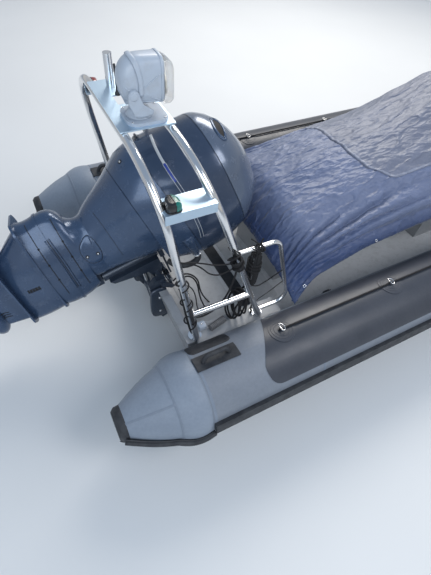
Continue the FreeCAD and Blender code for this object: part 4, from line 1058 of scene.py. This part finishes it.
def make_searchlight():
    """The searchlight's housing and yoke, with ridges, reflector, screws and pivot caps."""
    housing = make_head()
    make_yoke()
    head = BVHTree.FromPolygons([v.co.copy() for v in housing.data.vertices],
                                [tuple(p.vertices) for p in housing.data.polygons])
    make_housing_ribs(head, pivot.y)
    for side, name in side_names.items():
        for k, row in enumerate(head_seams):
            line = laid(head, smooth_path([pivot + Vector((x, -side * y, z)) for x, y, z in row], 0.004))
            ribbon("head_ridge_%s_%d" % (name, k), line, 0.0050, 0.0030, "white_plastic", "light_head")
    low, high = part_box("searchlight_cover")
    centre = (Vector(low) + Vector(high)) / 2
    radius = (high[2] - low[2]) / 2 - 0.012
    face = Vector((low[0] + 0.001, centre.y, centre.z))
    ahead = Vector((1, 0, 0))
    dish = [(0.0005, radius), (0.003, radius), (0.0035, radius - 0.004), (0.0012, 0.8 * radius),
            (0.0008, 0.35 * radius),
            (0.0025, 0.22 * radius), (0.0045, 0.12 * radius)]
    spun("reflector", dish, face, ahead, "reflector", "light_head", 40)
    for k in range(4):
        angle = math.radians(45 + 90 * k)
        spot = Vector((low[0] + 0.002, centre.y + 0.93 * (radius + 0.01) * math.cos(angle),
                       centre.z + 0.93 * (radius + 0.01) * math.sin(angle)))
        screw("cover_screw_%d" % k, (spot, ahead), 0.0035, "stainless", "light_head")
    for side in (-1, 1):
        hub = Vector((pivot.x, centre.y + side * cheek_outer, pivot.z))
        spun("pivot_cap_" + side_names[side],
             [(-0.004, 0.017), (0.0010, 0.017), (0.002, 0.014), (0.0025, 0.006)], hub, Vector((0, side, 0)),
             "white_plastic", "light_yoke", 28)
    base_low, base_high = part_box("searchlight_base")
    base = skin_of("searchlight_base")
    for k, (fx, fy) in enumerate(((0.10, 0.10), (0.90, 0.10), (0.10, 0.90), (0.90, 0.90))):
        spot = Vector((base_low[0] + fx * (base_high[0] - base_low[0]),
                       base_low[1] + fy * (base_high[1] - base_low[1]),
                       base_high[2]))
        place, normal, _, _ = base.ray_cast(spot + Vector((0, 0, 0.05)), Vector((0, 0, -1)))
        if place is not None and normal.z > 0.9:
            screw("base_screw_%d" % k, (place, normal), 0.0055, "stainless", "boat")


aerial_place = Vector((-2.668, 0.060, 1.5973))
aerial_height = 0.138


def make_aerial():
    """A thin whip beside the searchlight, in a rubber foot."""
    foot = aerial_place
    spun("aerial_foot", [(0, 0.013), (0.008, 0.013), (0.022, 0.007), (0.030, 0.006)], foot, (0, 0, 1),
         "rubber_black", "boat", 20)
    line = smooth_path([foot + Vector((0, 0, 0.01)), foot + Vector((0, 0, 0.07)),
                        foot + Vector((-0.002, 0.002, aerial_height))], 0.01)
    tube_mesh("aerial", line, 0.0058, "rubber_black", "boat", 12)


def make_lamp_foot(side, name):
    """A flange under the lamp, and the band that parts its lens from its body."""
    low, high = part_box("lamp_" + name)
    centre = (Vector(low) + Vector(high)) / 2
    half = (Vector(high) - Vector(low)) / 2
    foot = []
    for angle in full_turn(44):
        x = (half.x + 0.005) * math.copysign(abs(math.cos(angle)) ** 0.6, math.cos(angle))
        y = (half.y + 0.005) * math.copysign(abs(math.sin(angle)) ** 0.6, math.sin(angle))
        foot.append(Vector((centre.x + x, centre.y + y, low[2])))
    pad("lamp_foot_" + name, skin_of("lamp_shelves"), foot, 0.004, "rubber_gloss", "boat", round_edge=0.04)
    foot_z = low[2] + 0.004
    shoulder_z = low[2] + 0.65 * (high[2] - low[2])
    over = [(0, centre.y - half.y, foot_z), (0, centre.y - 0.9 * half.y, shoulder_z),
            (0, centre.y, high[2]),
            (0, centre.y + 0.9 * half.y, shoulder_z), (0, centre.y + half.y, foot_z)]
    band = [Vector((lamp_split_x, p.y, p.z)) for p in smooth_path(over, 0.004)]
    ribbon("lamp_band_" + name, laid(skin_of("lamp_" + name), band), 0.006, 0.0014, "rubber_gloss", "boat")


# Trim of the collar. Angles go round a side tube's section from its outer
# side, in degrees, so that 90 is the top and 180 the side over the cockpit.
tube_box = {name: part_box("tube_" + name) for name in ("starboard", "port")}
tube_centre_y = (tube_box["port"][0][1] + tube_box["port"][1][1]) / 2
tube_centre_z = (tube_box["port"][0][2] + tube_box["port"][1][2]) / 2
tube_radius = (tube_box["port"][1][2] - tube_box["port"][0][2]) / 2
cone_tip_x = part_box("cone_port")[0][0]
cone_root_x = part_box("cone_port")[1][0]
patch_stations = (-2.14, -1.29, -0.44, 0.41, 1.26)
patch_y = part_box("lifelines")[1][1] - 0.010
cap_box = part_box("cone_caps")
cone_tip_radius = (cap_box[1][2] - cap_box[0][2]) / 2
cone_tip_z = (cap_box[1][2] + cap_box[0][2]) / 2
cone_tip_y = cap_box[1][1] - cone_tip_radius


def tube_spot(side, x, angle, lift=0.0):
    """A place on a side tube, on starboard for side -1."""
    out = Vector((0, side * math.cos(math.radians(angle)), math.sin(math.radians(angle))))
    return Vector((x, side * tube_centre_y, tube_centre_z)) + out * (tube_radius + lift)


def tube_outline(side, x0, x1, low, high, corner=0.03, count=9):
    """A rounded rectangle laid out on a tube, in length and in angle."""
    turn = math.degrees(corner / tube_radius)
    return [tube_spot(side, x, angle) for x, angle in rounded(x0, x1, low, high, corner, turn, count)]


# The chafe patch runs between these places in x and these angles.
chafe_patch = (-2.690, -2.425, 115, 142)
chafe_patch_corner = 0.032
seam_stations = (cone_root_x + 0.012, -1.96, -0.42)
valve_x = -1.62
valve_angle = 152


def make_tube_trim(side, name):
    """The chafe patch, the seams round the tube and the inflation valve."""
    skin = skin_of("tube_" + name, "cone_" + name)
    outline = tube_outline(side, *chafe_patch, chafe_patch_corner)
    pad("chafe_patch_" + name, skin, outline, 0.0035, "rubber_black", "boat", 8)
    for k, x in enumerate(seam_stations):
        loop = [(tube_spot(side, x, a), tube_spot(side, x, a, 1.0) - tube_spot(side, x, a))
                for a in range(-40, 216, 4)]
        ribbon("tube_seam_%s_%d" % (name, k), loop, 0.018, 0.0009, "seam_grey", "boat")
    make_valve(side, name, skin)


def make_valve(side, name, skin):
    spot = laid(skin, [tube_spot(side, valve_x, valve_angle)])[0]
    rings = [(-0.001, 0.034), (0.003, 0.034), (0.005, 0.031), (0.005, 0.024), (0.009, 0.023),
             (0.011, 0.019), (0.009, 0.008)]
    spun("valve_" + name, rings, spot[0], spot[1], "rubber_gloss", "boat", 30)


def cone_radius(x):
    """The inflated cone's radius, which bulges beyond the straight line from its root to its tip."""
    share = (cone_root_x - x) / (cone_root_x - cone_tip_x)
    near_root = 0.018 * math.sin(math.pi * min(1.0, 2.4 * share)) * (share < 0.42)
    bulge = math.sin(math.pi * share) * 0.030 + near_root
    return tube_radius * (1 - share) + cone_tip_radius * share + bulge


def cone_spot(side, x, angle, lift=0.0):
    """A place on the inflated cone, whose axis rises a little towards the tip."""
    share = (cone_root_x - x) / (cone_root_x - cone_tip_x)
    out = Vector((0, side * math.cos(math.radians(angle)), math.sin(math.radians(angle))))
    axis = Vector((x, side * (tube_centre_y + (cone_tip_y - tube_centre_y) * share),
                   tube_centre_z + (cone_tip_z - tube_centre_z) * share))
    return axis + out * (cone_radius(x) + lift)


def placed_on_cone(side, stations):
    """Places on the cone and their normals, for pairs of x and angle."""
    out = []
    for x, angle in stations:
        place = cone_spot(side, x, angle)
        ahead = cone_spot(side, x + 0.004, angle) - place
        round_way = cone_spot(side, x, angle + 2) - place
        normal = ahead.cross(round_way).normalized()
        axis_out = Vector((0, side * math.cos(math.radians(angle)), math.sin(math.radians(angle))))
        out.append((place, normal if normal.dot(axis_out) > 0 else -normal))
    return out


def make_cone(side, name):
    """The inflated stern cone, with its seams, the strakes' tails, the black cap and its flap."""
    rows, count = 36, 72
    xs = [cone_root_x - (cone_root_x - cone_tip_x) * r / (rows - 1) for r in range(rows)]
    verts = [cone_spot(side, x, 360 * k / count) for x in xs for k in range(count)]
    # The cone skin is the bluer tube_grey: a painted sky reflection.
    skin = add_mesh("cone_skin_" + name, verts, ring_faces(rows, count), "tube_grey", "boat")
    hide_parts("cone_" + name)
    ring_x = cone_root_x - 0.17
    ring = placed_on_cone(side, [(ring_x, a) for a in range(-180, 180, 4)])
    ribbon("cone_ring_seam_" + name, ring, 0.016, 0.0009, "seam_grey", "boat", closed=True)
    long_seam = placed_on_cone(side, [(x, 62) for x in np.linspace(ring_x, cone_tip_x + 0.02, 24)])
    ribbon("cone_long_seam_" + name, long_seam, 0.014, 0.0009, "seam_grey", "boat")
    tail_x = np.linspace(cone_root_x, cone_tip_x + 0.004, 28)
    tails = ((-15, 0.115, 0.008), (-7, 0.034, 0.028), (-24, 0.034, 0.028))
    for k, (angle, width, height) in enumerate(tails):
        tail = placed_on_cone(side, [(x, angle - 10 * (cone_root_x - x)) for x in tail_x])
        ribbon("strake_tail_%s_%d" % (name, k), tail, width, height, "rubber_black", "boat")
    cap_centre = Vector((cone_tip_x, side * cone_tip_y, cone_tip_z))
    cap = [(-0.040, cone_tip_radius + 0.012), (-0.038, cone_tip_radius + 0.016),
           (0.004, cone_tip_radius + 0.012),
           (0.016, cone_tip_radius + 0.002), (0.022, 0.7 * cone_tip_radius),
           (0.0245, 0.3 * cone_tip_radius)]
    spun("cone_cap_" + name, cap, cap_centre, (-1, 0, 0), "rubber_black", "boat", 48)
    flap = []
    for k in range(13):
        share = k / 12
        flap.append((cone_spot(side, cone_tip_x + 0.012 - 0.010 * share, -24 - 34 * share,
                               0.010 + 0.020 * share * share),
                     Vector((-0.4, side * 0.6, -0.6)).normalized()))
    ribbon("cone_flap_" + name, flap, 0.070, 0.004, "rubber_black", "boat")


def make_patch_detail(side, name):
    """Two rings on each round patch, and a bright D-ring over it."""
    patch_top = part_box("lifeline_patches")[1][2]
    skin = skin_of("lifeline_patches", "tube_" + name)
    for k, x in enumerate(patch_stations):
        middle = Vector((x, side * patch_y, patch_top))
        for m, r in enumerate((0.064, 0.046)):
            loop = [middle + Vector((r * math.cos(t), r * math.sin(t), 0))
                    for t in np.linspace(0, 2 * math.pi, 61)[:-1]]
            ribbon("patch_ring_%s_%d_%d" % (name, k, m), laid(skin, loop), 0.004, 0.0014, "tube_dark",
                   "boat", closed=True)
        bow = [middle + Vector((0.016 * math.cos(t), 0.024 * math.sin(t), 0.004))
               for t in np.linspace(-2.2, 2.2, 25)]
        tube_mesh("d_ring_%s_%d" % (name, k), bow, 0.0028, "stainless", "boat", 10, closed=True)


# Deck and stern fittings
deck_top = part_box("deck")[1][2]


def plate_on_deck(name, x0, x1, y0, y1, look, height=0.004, corner=0.03):
    """A thin rounded mat on the cockpit deck."""
    verts = []
    outline = rounded(x0, x1, y0, y1, corner, corner, 7)
    middle = Vector(((x0 + x1) / 2, (y0 + y1) / 2, 0))
    for inset, z in ((0, deck_top - 0.001), (0, deck_top + 0.7 * height), (0.004, deck_top + height)):
        for x, y in outline:
            inward = (middle - Vector((x, y, 0))).normalized() * inset
            verts.append(Vector((x + inward.x, y + inward.y, z)))
    return add_mesh(name, verts, ring_faces(3, len(outline)), look, "boat", smooth=False)


def make_deck_trim():
    plate_on_deck("deck_strip", -2.055, -1.960, -0.42, 0.42, "rubber_black")
    plate_on_deck("deck_mat_aft", -2.440, -2.085, -0.44, 0.44, "deck_mat")
    plate_on_deck("deck_mat_fore", -1.930, -1.740, -0.44, 0.44, "deck_mat")


def box_mesh(name, low, high, look, body, bevel=0.004):
    verts = [Vector((x, y, z)) for x in (low[0], high[0]) for y in (low[1], high[1])
             for z in (low[2], high[2])]
    faces = [(0, 1, 3, 2), (4, 6, 7, 5), (0, 4, 5, 1), (2, 3, 7, 6), (0, 2, 6, 4), (1, 5, 7, 3)]
    made = add_mesh(name, verts, faces, look, body, smooth=False)
    round_off = made.modifiers.new("bevel", "BEVEL")
    round_off.width = bevel
    round_off.segments = 3
    return made


quarter_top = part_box("quarter_mouldings")[1][2]


def make_stern_fittings():
    """A white hose clamp block and a ribbed connector on the starboard quarter."""
    box_mesh("clamp_block", (-2.520, -0.640, quarter_top - 0.001), (-2.470, -0.590, quarter_top + 0.034),
             "white_plastic",
             "boat", 0.006)
    screw("clamp_block_screw", (Vector((-2.495, -0.615, quarter_top + 0.034)), Vector((0, 0, 1))), 0.006,
          "stainless", "boat")
    low = Vector((-2.455, -0.655, quarter_top + 0.021))
    high = Vector((-2.345, -0.628, quarter_top + 0.021))
    body = [low.lerp(high, t) for t in np.linspace(0, 1, 120)]
    tube_mesh("ribbed_connector", body, 0.021, "hose_grey", "boat", 24, 0.09, 0.011)


# Loose lines, ties and hoses about the arch's starboard legs. Points are in metres.
knot_place = Vector((-2.345, -0.668, 1.005))
hoop_tie_place = Vector((-2.205, -0.650, 1.046))
leg_line_upper = [(-2.360, -0.655, 1.000), (-2.410, -0.640, 0.995), (-2.462, -0.636, 1.010),
                  (-2.522, -0.636, 1.050), (-2.605, -0.638, 1.095), (-2.668, -0.642, 1.120)]
leg_line_lower = [(-2.360, -0.655, 0.960), (-2.411, -0.640, 0.912), (-2.487, -0.636, 0.950),
                  (-2.532, -0.636, 1.020), (-2.590, -0.638, 1.080), (-2.665, -0.642, 1.125)]
hoop_line = [(-2.330, -0.660, 0.960), (-2.300, -0.650, 0.890), (-2.260, -0.645, 0.800),
             (-2.209, -0.643, 0.735), (-2.153, -0.643, 0.695), (-2.100, -0.643, 0.712),
             (-2.045, -0.650, 0.755), (-1.998, -0.660, 0.800)]
drop_line = [(-2.338, -0.660, 0.960), (-2.325, -0.645, 0.880), (-2.330, -0.632, 0.800),
             (-2.345, -0.625, 0.690), (-2.405, -0.622, 0.590), (-2.486, -0.626, 0.566),
             (-2.545, -0.640, 0.600), (-2.590, -0.655, 0.640)]
hoop_hook_line = [(-2.215, -0.690, 0.560), (-2.150, -0.650, 0.555), (-2.060, -0.645, 0.590),
                  (-1.995, -0.648, 0.640), (-1.953, -0.658, 0.690)]
well_hoses = [
    [(-2.500, -0.245, 0.437), (-2.470, -0.250, 0.500), (-2.410, -0.262, 0.510), (-2.360, -0.275, 0.430),
     (-2.345, -0.290, 0.300), (-2.320, -0.300, 0.200), (-2.300, -0.310, 0.150)],
    [(-2.505, -0.205, 0.437), (-2.475, -0.212, 0.485), (-2.400, -0.225, 0.490), (-2.335, -0.240, 0.410),
     (-2.330, -0.262, 0.320), (-2.290, -0.270, 0.210), (-2.250, -0.280, 0.150)],
    [(-2.505, -0.290, 0.437), (-2.480, -0.300, 0.480), (-2.430, -0.320, 0.470), (-2.400, -0.340, 0.380),
     (-2.395, -0.352, 0.270), (-2.370, -0.362, 0.190), (-2.350, -0.370, 0.150)],
]


def make_knot(name, place, size, turns, axis, seed):
    """Cord wound round a tube a few times, not quite evenly."""
    axis = Vector(axis).normalized()
    across = axis.orthogonal().normalized()
    over = axis.cross(across)
    points = []
    count = 26
    for i in range(turns * count):
        angle = 2 * math.pi * i / count
        r = size * (1 + 0.10 * noise.noise(Vector((0.15 * i, seed, 0.0))))
        along = (i / (turns * count) - 0.5) * size * 2.2 + 0.007 * math.sin(0.19 * i + seed)
        points.append(place + axis * along + across * (r * math.cos(angle)) + over * (r * math.sin(angle)))
    return tube_mesh(name, points, 0.0045, "rope_black", "boat", 8)


def make_knot_ends(name, place, lengths, seed):
    """Short tails that stand out of a knot."""
    for k, length in enumerate(lengths):
        out = Vector((noise.noise(Vector((seed, k, 0.5))), noise.noise(Vector((k, seed, 2.5))),
                      0.25 + 0.5 * (k % 2))).normalized()
        bend = Vector((noise.noise(Vector((seed + 3, k, 0.1))), noise.noise(Vector((k, seed + 4, 0.7))),
                       -0.6))
        line = [place + out * (length * t) + bend * (0.35 * length * t * t) for t in np.linspace(0, 1, 12)]
        tube_mesh("%s_%d" % (name, k), line, 0.004, "rope_black", "boat", 8)


def long_turn(radius, top, bottom):
    """One turn of a hung coil: straight sides and round ends, as sideways offset and height."""
    high, low = top - radius, bottom + radius

    def bend(centre, first, last):
        angles = [math.radians(a) for a in range(first, last, 30)]
        return [(radius * math.cos(a), centre + radius * math.sin(a)) for a in angles]

    turn = [(-radius, high), (-radius, (high + low) / 2), (-radius, low)] + bend(low, 210, 360)
    return turn + [(radius, low), (radius, (high + low) / 2), (radius, high)] + bend(high, 30, 180)


hank_place = Vector((-2.210, -0.640, 0))
hank_turns = 7
hank_radius = 0.028
hank_pitch = 0.0058


def make_hank():
    """A line coiled into a long hank that hangs from the hoop, with a wrap round it."""
    centre = hank_place
    turns = hank_turns
    points = [(-2.214, -0.652, 1.036), (-2.214, -0.650, 1.020)]
    for turn in range(turns):
        row = long_turn(hank_radius, 1.006 - 0.004 * (turn % 3), 0.770 - 0.012 * (turn % 3))
        for i, (side, z) in enumerate(row):
            facing = 0.45 * (turn + i / len(row)) + 0.4
            beside = hank_pitch * (turn + i / len(row) - turns / 2)
            points.append((centre.x + side * math.cos(facing) - beside * math.sin(facing),
                           centre.y + side * math.sin(facing) + beside * math.cos(facing), z))
    points += [(-2.206, -0.645, 1.012), (-2.203, -0.642, 1.034)]
    line_between("mooring_hank", points, 0.009)
    wrap = [centre + Vector((0.038 * math.cos(t), 0.038 * math.sin(t), 0.955 - 0.0042 * t))
            for t in np.linspace(0, 22, 130)]
    tube_mesh("hank_wrap", wrap, 0.0045, "rope_black", "boat", 8)


def make_leg_cables():
    """Three leads lashed down the inner side of the aft leg, with their ties."""
    inner = [Vector((-2.668, -0.628, 1.10)), Vector((-2.650, -0.636, 0.96)), Vector((-2.628, -0.646, 0.80)),
             Vector((-2.605, -0.655, 0.63)), Vector((-2.575, -0.660, 0.50)),
             Vector((-2.545, -0.655, 0.452))]
    for k in range(3):
        shift = Vector((0.012 * (k - 1), 0.006 * (k % 2), 0))
        line = smooth_path([p + shift + Vector((0.004 * math.sin(3 * i + k), 0.003 * math.cos(2 * i + k),
                                                0))
                            for i, p in enumerate(inner)], 0.012)
        tube_mesh("leg_lead_%d" % k, line, 0.0055, "rope_black", "boat", 10)
    for k, i in enumerate((1, 2, 3)):
        way_down = (inner[i + 1] - inner[i]).normalized()
        make_knot("lead_tie_%d" % k, inner[i] + Vector((0.002, -0.014, 0)), 0.031, 1, way_down, 7.0 + k)


def line_between(name, points, diameter, look="rope_black"):
    """A limp line or hose that ends on the boat itself."""
    cord_curve(name, points, diameter, look, "boat", far_end="object", stiffness="limp", lay="hanging")


def make_ties():
    """The knots, lines and leads on the arch's legs, and the hoses in the well."""
    leg = (Vector((-2.404, -0.643, 1.207)) - Vector((-2.301, -0.66, 0.90))).normalized()
    make_knot("tie_leg", knot_place, 0.028, 9, leg, 1.0)
    make_knot("tie_leg_over", knot_place + leg * 0.02, 0.034, 3, (leg.x, leg.y + 0.5, leg.z), 2.0)
    make_knot_ends("tie_leg_end", knot_place + Vector((0, 0.03, 0.01)), (0.07, 0.06, 0.05, 0.08), 3.0)
    make_knot("tie_hoop", hoop_tie_place, 0.021, 5, (1, 0.0, 0.0), 4.0)
    make_knot_ends("tie_hoop_end", hoop_tie_place + Vector((0, 0, 0.02)), (0.06, 0.05), 6.0)
    line_between("leg_line_upper", leg_line_upper, 0.008)
    line_between("leg_line_lower", leg_line_lower, 0.008)
    line_between("hoop_line", hoop_line, 0.008)
    line_between("drop_line", drop_line, 0.012)
    line_between("hoop_hook_line", hoop_hook_line, 0.005)
    for k, row in enumerate(well_hoses):
        line_between("well_hose_%d" % k, row, 0.011 if k < 2 else 0.008, "rubber_gloss")
    make_hank()
    make_leg_cables()


# Each turn of the coil at the foot: radius, top, how far forward it starts, and its lean.
foot_turns = ((0.052, 0.650, 0.000, 0.05), (0.066, 0.632, 0.016, 0.34), (0.047, 0.664, 0.040, -0.10),
              (0.060, 0.640, 0.052, 0.26), (0.050, 0.656, 0.086, 0.00))
foot_coil_x = -2.305
foot_coil_y = -0.612
foot_coil_bottom = 0.446


def make_foot_loops():
    """A line coiled at the forward leg's foot, its turns thrown down unevenly along the deck."""
    points = [(-2.236, -0.664, 0.690), (-2.246, -0.662, 0.660)]
    starts = [start for _, _, start, _ in foot_turns] + [0.112]
    leans = [lean for _, _, _, lean in foot_turns] + [0.10]
    for turn, (radius, top, start, lean) in enumerate(foot_turns):
        row = long_turn(radius, top, foot_coil_bottom)
        for i, (side, z) in enumerate(row):
            share = i / len(row)
            x = foot_coil_x + start + (starts[turn + 1] - start) * share
            x += (lean + (leans[turn + 1] - lean) * share) * (z - 0.52)
            points.append((x, foot_coil_y + side, z))
    points += [(-2.170, -0.655, 0.560), (-2.168, -0.650, 0.480), (-2.150, -0.640, 0.440)]
    line_between("foot_loops", points, 0.012)


def make_clamp_cheeks(side, name):
    """The moulded cheek over each clamp bracket, with its two bolts."""
    outer = side * clamp_cheek_y
    outline = [(-2.660, 0.100), (-2.560, 0.080), (-2.545, 0.120), (-2.545, 0.330), (-2.560, 0.375),
               (-2.600, 0.385), (-2.650, 0.372), (-2.668, 0.330)]
    loop = smooth_path([(x, 0, z) for x, z in outline], 0.012, closed=True)
    middle = sum(loop, Vector()) / len(loop)
    rings = ((1.0, 0.0), (1.0, 0.012), (0.965, 0.019), (0.90, 0.022), (0.45, 0.024))
    verts = []
    for share, depth in rings:
        verts += [Vector((middle.x + (p.x - middle.x) * share, outer + side * depth,
                          middle.z + (p.z - middle.z) * share))
                  for p in loop]
    add_mesh("clamp_cheek_" + name, verts, ring_faces(len(rings), len(loop)), "engine_dark", "boat")
    for k, z in enumerate((0.150, 0.300)):
        spot = (Vector((-2.605, outer + side * 0.0235, z)), Vector((0, side, 0)))
        spun("clamp_bolt_%s_%d" % (name, k), [(-0.002, 0.012), (0.006, 0.012), (0.008, 0.010)], spot[0],
             spot[1], "stainless",
             "boat", 6)


def pale(name, colour, rough):
    s = Shader(name)
    soft = s.ramp(s.noise(0.6, 3.0), (0.3, tuple(0.96 * c for c in colour)), (0.7, colour))
    return s.set(Base_Color=soft, Roughness=rough)


def make_stage():
    corners = [(-floor_half, -floor_half), (floor_half, -floor_half), (floor_half, floor_half),
               (-floor_half, floor_half)]
    mesh = bpy.data.meshes.new("floor")
    mesh.from_pydata([(x, y, water_z) for x, y in corners], [], [(0, 1, 2, 3)])
    mesh.materials.append(pale("floor", (0.74, 0.75, 0.75), 0.6))
    floor = bpy.data.objects.new("floor", mesh)
    bpy.context.scene.collection.objects.link(floor)


def area_light(name, place, target, size, power, colour):
    lamp = bpy.data.lights.new(name, "AREA")
    lamp.shape = "RECTANGLE"
    lamp.size, lamp.size_y = size
    lamp.energy = power
    lamp.color = colour
    made = bpy.data.objects.new(name, lamp)
    made.location = place
    made.rotation_euler = (Vector(target) - Vector(place)).to_track_quat("-Z", "Y").to_euler()
    bpy.context.scene.collection.objects.link(made)


def make_light():
    world = bpy.data.worlds.new("world")
    bpy.context.scene.world = world
    world.use_nodes = True
    nodes, links = world.node_tree.nodes, world.node_tree.links
    coords = nodes.new("ShaderNodeTexCoord")
    split = nodes.new("ShaderNodeSeparateXYZ")
    ramp = nodes.new("ShaderNodeValToRGB")
    ramp.color_ramp.elements[0].position = 0.0
    ramp.color_ramp.elements[0].color = (0.86, 0.85, 0.83, 1)
    ramp.color_ramp.elements[1].position = 0.75
    ramp.color_ramp.elements[1].color = (0.42, 0.54, 0.72, 1)
    links.new(coords.outputs["Generated"], split.inputs[0])
    links.new(split.outputs["Z"], ramp.inputs["Fac"])
    links.new(ramp.outputs["Color"], nodes["Background"].inputs["Color"])
    nodes["Background"].inputs["Strength"].default_value = 0.68
    area_light("key", (2.5, 5.0, 6.5), (-1.5, 0.0, 0.5), (5.0, 3.5), 560.0, (1.0, 0.95, 0.88))
    area_light("side", (0.8, -4.2, 5.6), (-1.3, -0.4, 0.7), (2.6, 2.6), 130.0, (0.97, 0.97, 1.0))
    area_light("fill", (-6.0, -5.5, 4.5), (-1.5, -0.5, 0.5), (5.0, 4.0), 190.0, (0.82, 0.91, 1.0))


make_camera()
make_stage()
make_light()
paint_nodes()
bpy.context.scene.view_settings.view_transform = "Standard"
make_cover()
make_engine_trim()
make_searchlight()
make_aerial()
both_sides(make_lamp_foot)
both_sides(make_tube_trim)
both_sides(make_cone)
both_sides(make_patch_detail)
make_deck_trim()
make_stern_fittings()
make_foot_loops()
make_ties()
both_sides(make_clamp_cheeks)
